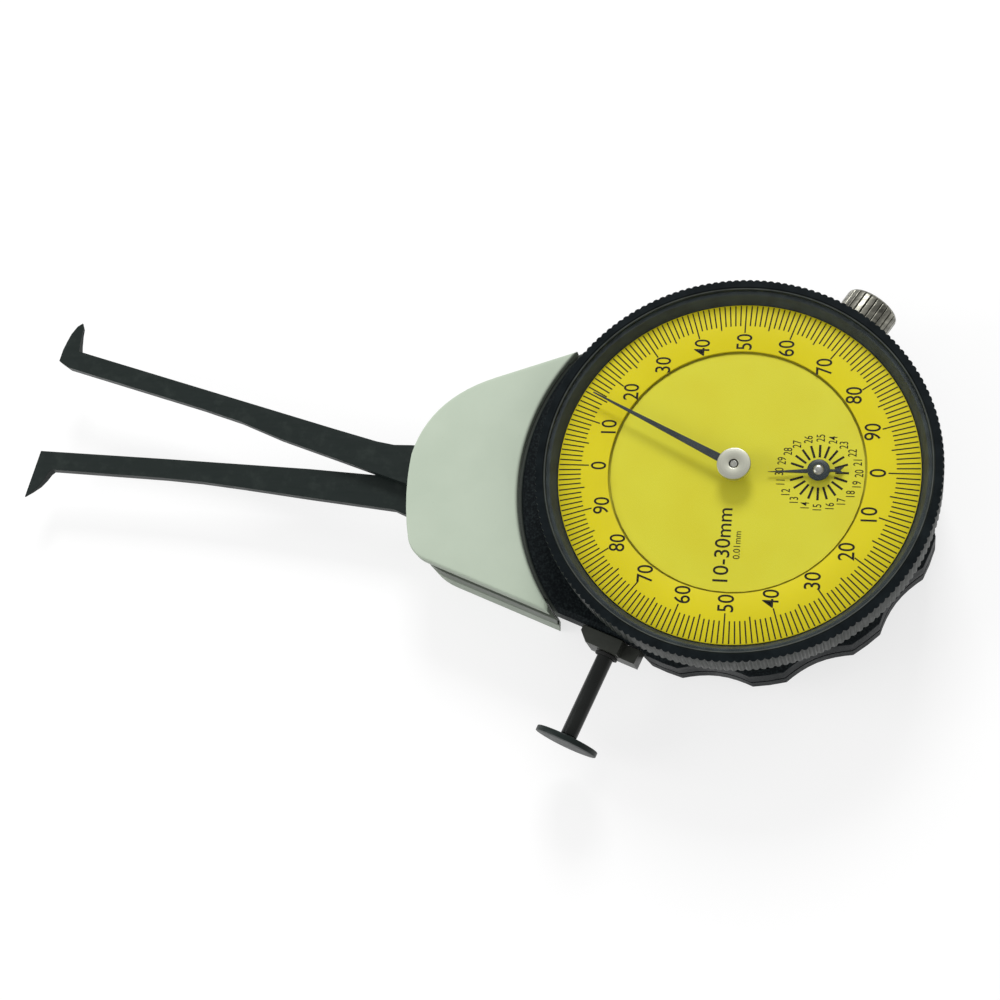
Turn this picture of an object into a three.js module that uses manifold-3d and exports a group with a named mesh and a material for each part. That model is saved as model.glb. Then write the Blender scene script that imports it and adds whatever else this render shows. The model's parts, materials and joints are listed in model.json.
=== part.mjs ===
// Inside dial caliper: two slim hooked jaws, a round dial with two hands and a thumb plunger.
// It lies on its back. The origin is on the pointer axis in the plane of the back, +Z rises through
// the dial, the jaws point along -X and the plunger leaves the lower side. Lengths are millimetres.
import * as THREE from 'three';
import { mergeVertices } from 'three/addons/utils/BufferGeometryUtils.js';
import Module from 'manifold-3d';

const wasm = await Module();
wasm.setup();

// Clearances
const fit = 0.15; // between pieces that seat in each other
const runningGap = 0.3; // between pieces that move past each other
const overrun = 2; // how far a cut passes the face it opens
const weld = 0.00001; // vertices nearer than this are one

// Movement, from which the round case grows
const plateRadius = 23.1;
const plateThickness = 1;
const plateMargin = 0.5;
const pillarRadius = 1.3;
const pillarInset = 2.1;

// Round case
const rearFloor = 1.5;
const rearWall = 1.3;
const rearBodyRound = 1;
const rearBodyShoulder = 3.6; // height at which the rear case flares to its flange
const flangeThickness = 2.3;
const flangeGap = 0.5; // between the two lobed rims
const neckWall = 2.3;
const neckHeight = 4.3;
const frameDepth = 3.8;
const frameBevel = 0.7;
const frameWall = 3; // side walls beside the lever
const gripDepth = 1.35; // of a scallop between two finger lobes
const gripLobes = 8;
const gripPitch = 30; // degrees between lobes
const gripLand = 4.8; // degrees each way from the middle of a lobe
const gripFirst = -108.7; // degrees from +X to the middle of the lowest lobe
const gripFade = 3.8; // degrees from an outer lobe down to the flat side
const bridgeHalfWidth = 13; // rear case under the frame, towards the jaws

// Tapered box and its covers
const sideAngle = 19.8; // degrees that each side tapers towards the jaws
const sideStep = 0.8; // the sides stand this much inside the grip radius
const pivotDistance = 40; // from the pointer axis to the jaw pivot
const coverNose = 9.1; // covers beyond the pivot
const coverBow = 40; // radius of the jaw end
const coverStandoff = 4.2; // concave end of the covers beyond the bezel
const shoulderRise = 3; // where the big upper corner starts on the jaw end
const shoulderRun = 9.5; // where it ends on the upper side
const heelRound = 1.6; // small corner under the fixed jaw
const coverWall = 1;
const coverSkin = 0.9;
const coverEdge = 0.35; // bevel along the cover's top edge
const coverStep = 0.6; // front cover above the frame
const coverShadow = 0.8; // groove between the covers
const rearCoverTop = 7.65; // height of its rim

// Jaws
const jawThickness = 1.4;
const jawOpening = 30.15; // over the tips at rest, as the dial reads
const jawClosed = 10; // over the tips with the plunger pressed
const armLength = 73.2; // pivot to the heel of a hook
const armWidth = 3.1;
const bossRadius = 5;
const pinRadius = 1.5;
const pinHeadRadius = 2.6;
const pinHeadHeight = 1;

// Outlines as shares of the arm's length and width, from the root round the hook and back
const movingInnerShares = [
  [0.1337, -1.11], [0.2078, -1.052], [0.3044, -0.952], [0.436, -0.826], [0.54, -0.587], [0.642, -0.53],
  [0.9906, -0.535],
];
const movingHookShares = [
  [1.019, -0.345], [1.0225, 0.3], [1.0219, 0.829], [1.0206, 1.252], [1.0143, 1.752], [1.0057, 2],
];
const movingOuterShares = [
  [0.9975, 1.72], [0.9945, 1.35], [0.9885, 0.85], [0.9826, 0.47], [0.33, 0.468], [0.2272, 0.484],
  [0.188, 0.571], [0.1518, 0.81],
];
const fixedInnerShares = [[0, 0.1], [0.2204, 0.316], [0.3617, 0.523], [0.6982, 0.845], [0.9995, 1.097]];
const fixedHookShares = [[1.0152, -1.442]];
const fixedOuterShares = [
  [1.0015, -1.171], [0.9863, -0.813], [0.9765, -0.42], [0.9705, -0.08], [0.9637, 0.085], [0.6899, -0.184],
  [0.6071, -0.316], [0.5131, -0.542], [0.3518, -0.974], [0.299, -1.103], [0.1639, -1.439], [0.1402, -1.668],
  [0, -2],
];

// Gear train
const pinionLeaves = 8;
const sectorTeeth = 176; // on a full circle
const transferTeeth = 84;
const counterTeeth = 80;
const smallDialShare = 0.4935; // of the plate radius, from the pointer axis to the small hand's axis
const transferBearing = 169; // degrees from +X to the transfer arbor
const sectorDepth = 6; // pitch circle to the inner edge of the toothed sector
const sectorThickness = 1.2;
const gearThickness = 0.8;
const spokeHalf = 11; // degrees each way from the middle of a wheel's spoke
const arborRadius = 0.5;

// Bezel, graduated ring and crystal
const bezelRun = 0.2; // between the neck and the bezel's bore
const bezelWall = 1.9;
const bezelRim = 1.5; // outside the crystal
const bezelSlope = 1.3; // plan width of the sloping inner wall
const bezelSkirt = 1.75; // bezel below the neck's top
const bezelRise = 2.25; // bezel above the graduated ring
const knurlTeeth = 168;
const knurlDepth = 0.5;
const ringWidth = 7.15;
const ringThickness = 0.4;
const ringLedgeWidth = 0.9;
const crystalSeatDepth = 0.65;
const crystalLedge = 0.5; // width of the ledge under the crystal
const crystalEdge = 0.5;
const crystalRim = 1.4; // flat rim round the dome's underside
const crystalRise = 1.4;
const crystalThickness = 0.95;

// Dial and hands
const dialRise = 1.3; // graduated ring above the neck
const dialStep = 0.6;
const dialSheet = 0.5;
const hubDiscRadius = 2.32;
const hubRise = 2.35; // hub's top above the graduated ring
const hubThickness = 0.65;
const hubCollarRadius = 1.2;
const handThickness = 0.25;
const pointerShort = 1.75; // pointer's tip inside the ring's edge
const pointerRootWidth = 1.15;
const pointerTipWidth = 0.16;
const pointerEyeRadius = 1.95;
const smallHubRadius = 1.55;
const smallHandRise = 0.5;
const smallHandLength = 6.9;
const smallHandTail = 3.4;
const smallHandWidth = 0.62;

// Plunger and its guide block
const plungerPlace = -7.6; // along the side, from the foot of the pointer axis
const plungerRodRadius = 1.2;
const plungerHeadRadius = 4.6;
const plungerReach = 16.4; // head's outer face beyond the case side
const plungerHeadThickness = 1;
const blockLength = 8.6;
const blockThickness = 2.15;
const blockHeight = 5;
const blockBevel = 1.3;
const stepLength = 2.4; // lowered end of the guide block, towards the round case
const stepDrop = 1.6;
const bushingRadius = 2.2;
const sealRadius = 1.65;
const sealThickness = 0.4;

// Bezel clamp screw
const clampAngle = 58.5; // degrees round from +X
const clampRise = 2.2; // its axis above the frame's underside
const clampKnobRadius = 4.05;
const clampKnobLength = 5;
const clampStandoff = 0.6; // knob clear of the case
const clampShaftRadius = 1.3;
const clampFlutes = 26;
const clampFluteDepth = 0.3;
const clampRound = 0.5;

// Fasteners
const screwRadius = 0.7;
const screwHeadRadius = 1.5;
const screwHeadHeight = 0.75;
const screwRecess = 1;

// Springs
const springWire = 0.2;
const springCoilRadius = 0.95;
const springTurns = 9;
const hairspringInner = 1.5;
const hairspringOuter = 5.4;
const hairspringTurns = 5;
const hairspringWire = 0.16;
const hairspringHeight = 0.5;

// Radii that follow
const caseCavity = plateRadius + plateMargin;
const rearBodyRadius = caseCavity + rearWall;
const neckRadius = caseCavity + neckWall;
const bezelBore = neckRadius + bezelRun;
const bezelRadius = bezelBore + bezelWall;
const gripRadius = bezelRadius;
const sideOffset = gripRadius - sideStep;
const coverArc = gripRadius + coverStandoff;
const coverLeft = pivotDistance + coverNose;
const crystalSeatRadius = bezelRadius - bezelRim;
const ringSeatRadius = crystalSeatRadius - bezelSlope;
const ringLedge = ringSeatRadius - ringLedgeWidth;
const ringOuter = ringSeatRadius - fit;
const ringInner = ringOuter - ringWidth;
const dialDiscRadius = ringInner - runningGap;
const dialFlangeRadius = caseCavity - runningGap;
const pointerLength = ringOuter - pointerShort;
const pillarCircle = plateRadius - pillarInset;
const smallDialOffset = smallDialShare * plateRadius;
const plungerHeadFace = sideOffset + plungerReach;
const clampKnobStart = gripRadius + clampStandoff;
const clampKnobEnd = clampKnobStart + clampKnobLength;

// Heights that follow, above the back
const fixedJawTop = rearCoverTop;
const fixedJawBottom = fixedJawTop - jawThickness;
const leverBottom = fixedJawTop + runningGap;
const leverTop = leverBottom + jawThickness;
const leverMiddle = (leverBottom + leverTop) / 2;
const roofBottom = leverTop + runningGap;
const frameBottom = rearCoverTop + fit;
const frameTop = frameBottom + frameDepth;
const flangeTop = frameBottom - flangeGap;
const flangeBottom = flangeTop - flangeThickness;
const coverBottom = frameBottom + coverShadow;
const coverTop = frameTop + coverStep;
const coverSeat = coverTop - coverSkin;
const frameSeat = coverSeat - fit;
const neckTop = frameTop + neckHeight;
const lowerPlateBottom = rearFloor + plateThickness / 5;
const lowerPlateTop = lowerPlateBottom + plateThickness;
const upperPlateBottom = roofBottom + runningGap;
const upperPlateTop = upperPlateBottom + plateThickness;
const transferBottom = lowerPlateTop + gearThickness;
const counterBottom = transferBottom + gearThickness + 2 * runningGap;
const sectorTop = leverBottom - 1.5 * runningGap;
const sectorBottom = sectorTop - sectorThickness;
const bezelBottom = neckTop - bezelSkirt;
const dialFaceHeight = neckTop + dialRise;
const dialDiscTop = dialFaceHeight - ringThickness;
const dialFlangeTop = dialDiscTop - dialStep;
const dialFlangeBottom = dialFlangeTop - dialSheet;
const bezelTop = dialFaceHeight + bezelRise;
const crystalSeatHeight = bezelTop - crystalSeatDepth;
const hubDiscTop = dialFaceHeight + hubRise;
const hubDiscBottom = hubDiscTop - hubThickness;
const pointerHeight = hubDiscBottom - handThickness - fit / 3;
const smallHandHeight = dialDiscTop + smallHandRise;
const smallHubTop = pointerHeight - runningGap;
const clampHeight = frameBottom + clampRise;

const degrees = Math.PI / 180;
const roundSteps = 48;
const pinSteps = 12;

// Directions of the tapered lower side: outwards from the case, and along it
const outAngle = -(90 + sideAngle) * degrees;
const sideOut = [Math.cos(outAngle), Math.sin(outAngle)];
const sideAlong = [-sideOut[1], sideOut[0]];

const polar = (radius, angle) => [radius * Math.cos(angle), radius * Math.sin(angle)];
const mirrored = ([x, y]) => [x, -y];

function arc(radius, start, end, steps, centre = [0, 0]) {
  return Array.from({ length: steps + 1 }, (_, i) => {
    const [x, y] = polar(radius, start + (end - start) * i / steps);
    return [centre[0] + x, centre[1] + y];
  });
}

function curve(start, control, end, steps) {
  const bend = new THREE.QuadraticBezierCurve(
    new THREE.Vector2(...start), new THREE.Vector2(...control), new THREE.Vector2(...end));
  return bend.getPoints(steps).map((p) => [p.x, p.y]);
}

function turned(points, angle) {
  const c = Math.cos(angle);
  const s = Math.sin(angle);
  return points.map(([x, y]) => [x * c - y * s, x * s + y * c]);
}

// Moves every edge of a closed anticlockwise outline inwards by a distance
function inset(points, distance) {
  const kept = points.filter(([x, y], i) => {
    const [nextX, nextY] = points[(i + 1) % points.length];
    return Math.hypot(nextX - x, nextY - y) > weld;
  });
  return kept.map((point, i) => {
    const before = kept[(i + kept.length - 1) % kept.length];
    const after = kept[(i + 1) % kept.length];
    const first = new THREE.Vector2(point[0] - before[0], point[1] - before[1]).normalize();
    const second = new THREE.Vector2(after[0] - point[0], after[1] - point[1]).normalize();
    const normal = new THREE.Vector2(-first.y - second.y, first.x + second.x).normalize();
    const reach = distance / (normal.x * -first.y + normal.y * first.x);
    return [point[0] + normal.x * reach, point[1] + normal.y * reach];
  });
}

function shapeOf(outline, holes = []) {
  const shape = new THREE.Shape(outline.map(([x, y]) => new THREE.Vector2(x, y)));
  shape.holes = holes.map((hole) => new THREE.Path(hole.map(([x, y]) => new THREE.Vector2(x, y))));
  return shape;
}

function prism(outline, low, high, holes = []) {
  const settings = { depth: high - low, bevelEnabled: false };
  return new THREE.ExtrudeGeometry(shapeOf(outline, holes), settings).translate(0, 0, low);
}

// A prism whose upper edge is bevelled; the matching lower bevel is cut away
function bevelledPrism(outline, low, high, bevel) {
  const geometry = new THREE.ExtrudeGeometry(shapeOf(outline), {
    depth: high - low, bevelEnabled: true, bevelSegments: 1, bevelThickness: bevel, bevelSize: bevel,
    bevelOffset: -bevel,
  });
  geometry.translate(0, 0, low - bevel);
  const reach = coverLeft + overrun;
  return cut(geometry, slab([-reach, -reach], [reach, reach], low - bevel - overrun, low));
}

function slab([x0, y0], [x1, y1], low, high) {
  return new THREE.BoxGeometry(x1 - x0, y1 - y0, high - low)
    .translate((x0 + x1) / 2, (y0 + y1) / 2, (low + high) / 2);
}

function post(radius, low, high, [x, y] = [0, 0], steps = pinSteps) {
  return new THREE.CylinderGeometry(radius, radius, high - low, steps)
    .rotateX(Math.PI / 2)
    .translate(x, y, (low + high) / 2);
}

// A closed profile of [radius, height] pairs turned about the Z axis
function revolve(profile, steps = roundSteps) {
  const closed = [...profile, profile[0]].map(([radius, height]) => new THREE.Vector2(radius, height));
  return new THREE.LatheGeometry(closed, steps).rotateX(Math.PI / 2);
}

function solidOf(geometry) {
  const bare = geometry.clone();
  bare.deleteAttribute('normal');
  bare.deleteAttribute('uv');
  const merged = mergeVertices(bare, weld);
  const corners = merged.index.array;
  const kept = [];
  for (let i = 0; i < corners.length; i += 3) {
    const [a, b, c] = [corners[i], corners[i + 1], corners[i + 2]];
    if (a !== b && b !== c && c !== a) {
      kept.push(a, b, c);
    }
  }
  const at = (i) => new THREE.Vector3().fromBufferAttribute(merged.attributes.position, i);
  let volume = 0;
  for (let i = 0; i < kept.length; i += 3) {
    volume += at(kept[i]).dot(at(kept[i + 1]).cross(at(kept[i + 2])));
  }
  if (volume < 0) {
    kept.reverse();
  }
  const vertProperties = Float32Array.from(merged.attributes.position.array);
  return new wasm.Manifold(new wasm.Mesh({ numProp: 3, vertProperties, triVerts: Uint32Array.from(kept) }));
}

function geometryOf(solid) {
  const mesh = solid.getMesh();
  const geometry = new THREE.BufferGeometry();
  geometry.setAttribute('position', new THREE.BufferAttribute(Float32Array.from(mesh.vertProperties), 3));
  geometry.setIndex(new THREE.BufferAttribute(Uint32Array.from(mesh.triVerts), 1));
  return geometry;
}

function join(first, ...others) {
  return geometryOf(others.reduce((solid, other) => solid.add(solidOf(other)), solidOf(first)));
}

function cut(first, ...others) {
  return geometryOf(others.reduce((solid, other) => solid.subtract(solidOf(other)), solidOf(first)));
}

function common(first, second) {
  return geometryOf(solidOf(first).intersect(solidOf(second)));
}

const finishes = {
  wrinkleBlack: { color: 0x1a1e20, roughness: 0.75, metalness: 0.1 },
  satinBlack: { color: 0x1d2122, roughness: 0.42, metalness: 0.2 },
  paleGrey: { color: 0xb9c4b5, roughness: 0.5, metalness: 0 },
  blackSteel: { color: 0x2b2f30, roughness: 0.45, metalness: 0.8 },
  brightSteel: { color: 0xb9bab6, roughness: 0.3, metalness: 0.9 },
  yellowDial: { color: 0xdfd22c, roughness: 0.55, metalness: 0 },
  blueSteel: { color: 0x2c343a, roughness: 0.4, metalness: 0.5 },
  brass: { color: 0xb89a4c, roughness: 0.35, metalness: 0.9 },
  clear: { color: 0xf2f6f4, roughness: 0.05, metalness: 0, transparent: true, opacity: 0.15 },
  blackRubber: { color: 0x121313, roughness: 0.85, metalness: 0 },
};

function piece(name, geometry, finish) {
  const body = geometryOf(solidOf(geometry));
  body.computeVertexNormals();
  const mesh = new THREE.Mesh(body, new THREE.MeshStandardMaterial(finishes[finish]));
  mesh.name = name;
  return mesh;
}

// Copies of one fastener, numbered in turn
function copies(name, places, build, finish) {
  return places.map((place, i) => piece(`${name}_${i + 1}`, build(place), finish));
}

function group(place, angle, ...pieces) {
  const holder = new THREE.Group();
  holder.position.set(place[0], place[1], 0);
  holder.rotation.z = angle;
  holder.add(...pieces);
  return holder;
}

// Jaw angles: the tips stand jawOpening apart at rest and jawClosed apart when pressed
const pivot = [-pivotDistance, 0];
const armPoint = ([along, across]) => [-armLength * along, armWidth * across];
const movingTip = armPoint(movingHookShares[movingHookShares.length - 1]);
const fixedTip = armPoint(fixedHookShares[0]);
const movingReach = Math.hypot(...movingTip);
const fixedReach = Math.hypot(...fixedTip);

function angleBetweenTips(distance) {
  const squares = movingReach ** 2 + fixedReach ** 2 - distance ** 2;
  return Math.acos(squares / (2 * movingReach * fixedReach));
}

const fixedTipAngle = Math.atan2(fixedTip[1], fixedTip[0]) + 2 * Math.PI;
const movingTipAngle = Math.atan2(movingTip[1], movingTip[0]);
const movingTilt = movingTipAngle - (fixedTipAngle - angleBetweenTips(jawOpening));
const swing = angleBetweenTips(jawOpening) - angleBetweenTips(jawClosed);

// Places of the arbors
const trainModule = smallDialOffset * 2 / (counterTeeth + pinionLeaves);
const transferToCentre = trainModule * (transferTeeth + pinionLeaves) / 2;
const transferPlace = polar(transferToCentre, transferBearing * degrees);
const transferAngle = Math.atan2(transferPlace[1], transferPlace[0] + pivotDistance);
const sectorToTransfer = Math.hypot(transferPlace[0] + pivotDistance, transferPlace[1]);
const sectorModule = sectorToTransfer * 2 / (sectorTeeth + pinionLeaves);
const counterPlace = [smallDialOffset, 0];
const centrePlace = [0, 0];

// Where the tapered sides meet a circle or the bowed jaw end
function sidePoint(offset, radius) {
  const back = Math.sqrt(radius ** 2 - offset ** 2);
  return [sideOut[0] * offset - sideAlong[0] * back, sideOut[1] * offset - sideAlong[1] * back];
}

function heelPoint() {
  const centre = [coverBow - coverLeft, 0];
  const height = sideOffset - (sideOut[0] * centre[0] + sideOut[1] * centre[1]);
  const back = Math.sqrt(coverBow ** 2 - height ** 2);
  return [0, 1].map((i) => centre[i] + sideOut[i] * height - sideAlong[i] * back);
}

// The jaw end: big upper corner, bowed end, small lower corner
function jawEnd() {
  const heel = heelPoint();
  const peak = mirrored(heel);
  const centre = [coverBow - coverLeft, 0];
  const bowAngle = (y) => Math.PI - Math.asin(y / coverBow);
  const shoulder = [peak[0] + sideAlong[0] * shoulderRun, peak[1] - sideAlong[1] * shoulderRun];
  const bowStart = bowAngle(shoulderRise);
  const bowEnd = bowAngle(heel[1] + heelRound);
  const bow = arc(coverBow, bowStart, bowEnd, 6, centre);
  const heelEnd = [heel[0] + sideAlong[0] * heelRound, heel[1] + sideAlong[1] * heelRound];
  return [
    ...curve(shoulder, peak, bow[0], 10),
    ...bow.slice(1, -1),
    ...curve(bow[bow.length - 1], heel, heelEnd, 4),
  ];
}

// Plan of the tapered box, anticlockwise, running on into the round case
function longOutline() {
  const foot = [sideOut[0] * sideOffset, sideOut[1] * sideOffset];
  return [...jawEnd(), foot, mirrored(foot)];
}

// A block with the plan of the covers, or smaller all round, ending in the concave arc
function coverBlock(smaller, low, high) {
  const bite = post(coverArc + smaller, low - overrun, high + overrun, centrePlace, 1.5 * roundSteps);
  return cut(prism(inset(longOutline(), smaller), low, high), bite);
}

// The room between the side walls, open towards the jaws
function wedge(offset) {
  const foot = [sideOut[0] * offset, sideOut[1] * offset];
  const reach = (coverLeft + overrun + foot[0]) / sideAlong[0];
  const end = [foot[0] - sideAlong[0] * reach, foot[1] - sideAlong[1] * reach];
  return [end, foot, mirrored(foot), mirrored(end)];
}

// Finger lobes: short lands on the grip radius between hollow scallops, fading into the flat sides
const gripLast = gripFirst + (gripLobes - 1) * gripPitch;
const gripStart = gripFirst - gripLand - gripFade;
const gripEnd = gripLast + gripLand + gripFade;

function gripCurve() {
  const scallop = gripPitch / 2 - gripLand;
  const land = (middle) => [-gripLand, 0, gripLand]
    .map((turn) => polar(gripRadius, (middle + turn) * degrees));
  const hollowShares = [-0.8, -0.55, -0.28, 0, 0.28, 0.55, 0.8];
  const hollow = (middle) => hollowShares.map((share) => polar(gripRadius - gripDepth * (1 - share ** 2),
    (middle + share * scallop) * degrees));
  const onSide = (angle) => polar(sideOffset / Math.cos((Math.abs(angle) - 90 - sideAngle) * degrees),
    angle * degrees);
  const lobes = Array.from({ length: gripLobes - 1 }, (_, i) => gripFirst + i * gripPitch);
  return [
    onSide(gripStart), ...lobes.flatMap((middle) => [...land(middle), ...hollow(middle + gripPitch / 2)]),
    ...land(gripLast), onSide(gripEnd),
  ];
}

function gearOutline(teeth, size, share, phase, first = 0, last = teeth - 1) {
  const pitch = 2 * Math.PI / teeth;
  const radius = teeth * size / 2;
  const points = [];
  for (let i = first; i <= last; i += 1) {
    const middle = phase + i * pitch;
    points.push(polar(radius - share.below * size, middle - share.root * pitch));
    points.push(polar(radius + share.above * size, middle - share.tip * pitch));
    points.push(polar(radius + share.above * size, middle + share.tip * pitch));
    points.push(polar(radius - share.below * size, middle + share.root * pitch));
  }
  return points;
}

const wheelShare = { above: 0.8, below: 1.1, tip: 0.09, root: 0.3 };
const leafShare = { above: 0.75, below: 1.1, tip: 0.09, root: 0.2 };

// Fixed frame of the case: round ring with finger lobes and a tapered box towards the jaws
function caseFrame() {
  const arcEnd = sidePoint(sideOffset, coverArc - fit);
  const endAngle = Math.atan2(arcEnd[1], arcEnd[0]);
  const ringOutline = [
    arcEnd, ...gripCurve(), mirrored(arcEnd),
    ...arc(coverArc - fit, -endAngle, endAngle + 2 * Math.PI, 16).slice(1, -1),
  ];
  const covered = coverWall + fit;
  const box = prism(inset(longOutline(), covered), frameBottom, frameSeat);
  const ring = bevelledPrism(ringOutline, frameBottom, frameTop, frameBevel);
  const neck = post(neckRadius, frameTop - overrun, neckTop, centrePlace, roundSteps);
  const cavity = post(caseCavity, frameBottom - overrun, neckTop + overrun, centrePlace, roundSteps);
  const leverPocket = prism(wedge(sideOffset - covered - frameWall), frameBottom - overrun, roofBottom);
  const pivotHole = post(pinRadius + fit, frameBottom - overrun, frameTop + overrun, pivot);
  const screwHoles = [...coverScrewPlaces(), ...jawScrewPlaces()]
    .map((place) => post(screwRadius + fit, frameBottom - overrun, frameSeat - fit, place));
  const body = join(box, ring, neck);
  return cut(body, cavity, leverPocket, pivotHole, ...screwHoles, plungerBore(), clampBore());
}

function plungerBore() {
  return barAlong(bushingRadius + fit, caseCavity - 2 * overrun, gripRadius + overrun)
    .translate(0, plungerPlace, leverMiddle)
    .rotateZ(outAngle);
}

function clampBore() {
  return barAlong(clampShaftRadius + fit, caseCavity - overrun, gripRadius + overrun)
    .translate(0, 0, clampHeight)
    .rotateZ(clampAngle * degrees);
}

// A round bar along +X
function barAlong(radius, start, end, steps = pinSteps) {
  return new THREE.CylinderGeometry(radius, radius, end - start, steps)
    .rotateZ(Math.PI / 2)
    .translate((start + end) / 2, 0, 0);
}

function screwsAt(side, along) {
  const lower = [0, 1].map((i) => sideOut[i] * side + sideAlong[i] * along);
  return [lower, mirrored(lower)];
}

// Both pairs of screws stand in the frame's side walls
const screwLine = sideOffset - coverWall - fit - screwHeadRadius;

function coverScrewPlaces() {
  return screwsAt(screwLine, -0.82 * coverArc);
}

function jawScrewPlaces() {
  return screwsAt(screwLine, -0.66 * coverLeft);
}

function caseScrewPlaces() {
  return [60, 180, 300].map((angle) => polar(0.85 * plateRadius, angle * degrees));
}

// Rear case: a round cup with the lobed flange, and a bridge towards the rear cover
function rearCase() {
  const cup = revolve([
    [0, 0], [rearBodyRadius - rearBodyRound, 0], [rearBodyRadius, rearBodyRound],
    [rearBodyRadius, rearBodyShoulder], [gripRadius - gripDepth - fit, flangeBottom],
    [gripRadius - gripDepth - fit, flangeTop], [0, flangeTop],
  ]);
  const backCurve = arc(sideOffset, gripEnd * degrees, (360 + gripStart) * degrees, 24);
  const flange = prism([...gripCurve(), ...backCurve.slice(1, -1)], flangeBottom, flangeTop);
  const bridgeEnd = coverArc - fit;
  const bridgeAngle = Math.PI - Math.asin(bridgeHalfWidth / bridgeEnd);
  const bridgeOutline = [
    [0, -bridgeHalfWidth], [0, bridgeHalfWidth],
    ...arc(bridgeEnd, bridgeAngle, 2 * Math.PI - bridgeAngle, 10),
  ];
  const bridge = prism(bridgeOutline, rearBodyRound, flangeTop);
  const cavity = post(plateRadius + 2 * fit, rearFloor, flangeTop + overrun, centrePlace, roundSteps);
  const holes = caseScrewPlaces().flatMap((place) => [
    post(screwRadius + fit, -overrun, rearFloor + overrun, place),
    post(screwHeadRadius + fit, -overrun, screwRecess, place),
  ]);
  return cut(join(cup, flange, bridge), cavity, ...holes, plungerBore());
}

function frontCover() {
  const bite = post(coverArc, coverBottom - overrun, coverTop + overrun, centrePlace, 1.5 * roundSteps);
  const shell = bevelledPrism(longOutline(), coverBottom, coverTop, coverEdge);
  const inside = prism(inset(longOutline(), coverWall), coverBottom - overrun, coverSeat);
  const slotReach = coverLeft + overrun;
  const slot = slab([-slotReach, -1.6 * armWidth], [-pivotDistance, 1.75 * armWidth], coverBottom - overrun,
    roofBottom);
  return cut(shell, bite, inside, slot);
}

function rearCover() {
  const shell = coverBlock(0, 0, rearCoverTop);
  const inside = coverBlock(coverWall, coverWall, rearCoverTop + overrun);
  const slotReach = coverLeft + overrun;
  const slot = slab([-slotReach, -1.85 * armWidth], [-pivotDistance, armWidth / 2], fixedJawBottom - fit,
    rearCoverTop + overrun);
  const bosses = coverScrewPlaces().map((place) => post(screwHeadRadius + coverWall, coverWall / 2,
    fixedJawBottom - fit, place));
  const room = coverBlock(coverWall / 2, 0, rearCoverTop);
  const holes = coverScrewPlaces().flatMap((place) => [
    post(screwRadius + fit, -overrun, rearCoverTop + overrun, place),
    post(screwHeadRadius + fit, -overrun, screwRecess, place),
  ]);
  const hollow = cut(shell, inside, slot);
  return cut(join(hollow, common(join(...bosses), room)), ...holes);
}

// Moving jaw and lever in one piece, drawn about the pivot with its arm along -X
function movingJaw() {
  const outline = [...movingInnerShares, ...movingHookShares, ...movingOuterShares].map(armPoint);
  const arm = prism([[0, -bossRadius], ...outline, [0, bossRadius]].reverse(), leverBottom, leverTop);
  const boss = post(bossRadius, leverBottom, leverTop, [0, 0], 36);
  const hole = post(pinRadius + fit, leverBottom - overrun, leverTop + overrun);
  return cut(join(arm, boss, leverTail()), hole);
}

// Directions from the pivot, measured in the jaw's own frame, in which its arm lies along -X
const restTurn = movingTilt; // how far the jaw's own frame is turned clockwise at rest
const tailLine = -sideAngle * degrees - swing / 2 + restTurn;
const sectorLine = transferAngle - swing / 2 + restTurn;
const tailReach = (pivotDistance * Math.cos(sideAngle * degrees) + plungerPlace) / Math.cos(swing / 2);
const sectorPitch = sectorModule * sectorTeeth / 2;
const lugWidth = 0.4 * bossRadius;
const lugCentre = [0.74 * sectorPitch, 1.4 * bossRadius];
const tailWidth = 0.9 * bossRadius;

// The tail: a bar for the plunger, whose lower edge points at the pivot, and a branch for the sector
function leverTail() {
  const tailEnd = tailReach + 2 * plungerRodRadius;
  const bar = turned([[0, 0], [tailEnd, 0], [tailEnd, 0.6 * tailWidth], [0, tailWidth]], tailLine);
  const branchEnd = sectorPitch - 0.55 * sectorDepth;
  const branch = turned([
    [0, -0.8 * tailWidth], [branchEnd, -0.55 * tailWidth], [branchEnd, 0.75 * tailWidth],
    [0, 0.8 * tailWidth],
  ], sectorLine);
  const lugTop = lugCentre[1] + lugWidth / 2;
  const lug = turned([
    [lugCentre[0] - lugWidth, 0], [lugCentre[0] + lugWidth, 0], [lugCentre[0] + lugWidth / 2, lugTop],
    [lugCentre[0] - lugWidth / 2, lugTop],
  ], sectorLine);
  return join(...[bar, branch, lug].map((outline) => prism(outline, leverBottom, leverTop)));
}

function rivetPlaces() {
  return [-0.32, 0.45].map((share) => {
    const radius = sectorPitch - 0.72 * sectorDepth;
    return polar(radius, sectorLine + share * 2 * tailWidth / radius);
  });
}

// Toothed sector under the lever's branch; its first tooth meets the pinion at rest
function sectorGear() {
  const pitch = 2 * Math.PI / sectorTeeth;
  const meetAngle = transferAngle + restTurn;
  const used = Math.ceil(swing / pitch);
  const teeth = gearOutline(sectorTeeth, sectorModule, wheelShare, meetAngle, -used - 2, 2);
  const inner = sectorPitch - sectorDepth;
  const start = meetAngle + 2.5 * pitch;
  const end = meetAngle - (used + 2.5) * pitch;
  const outline = [
    ...teeth, polar(sectorPitch - wheelShare.below * sectorModule, start), ...arc(inner, start, end, 10),
    polar(sectorPitch - wheelShare.below * sectorModule, end),
  ];
  const holes = rivetPlaces().map((place) => post(screwRadius + fit, sectorBottom - overrun,
    sectorTop + overrun, place));
  return cut(prism(outline, sectorBottom, sectorTop), ...holes);
}

function sectorRivet(place) {
  return join(
    post(screwRadius, sectorBottom, leverBottom - fit / 2, place),
    post(1.5 * screwRadius, sectorTop + fit / 2, leverBottom - fit / 2, place),
  );
}

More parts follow.
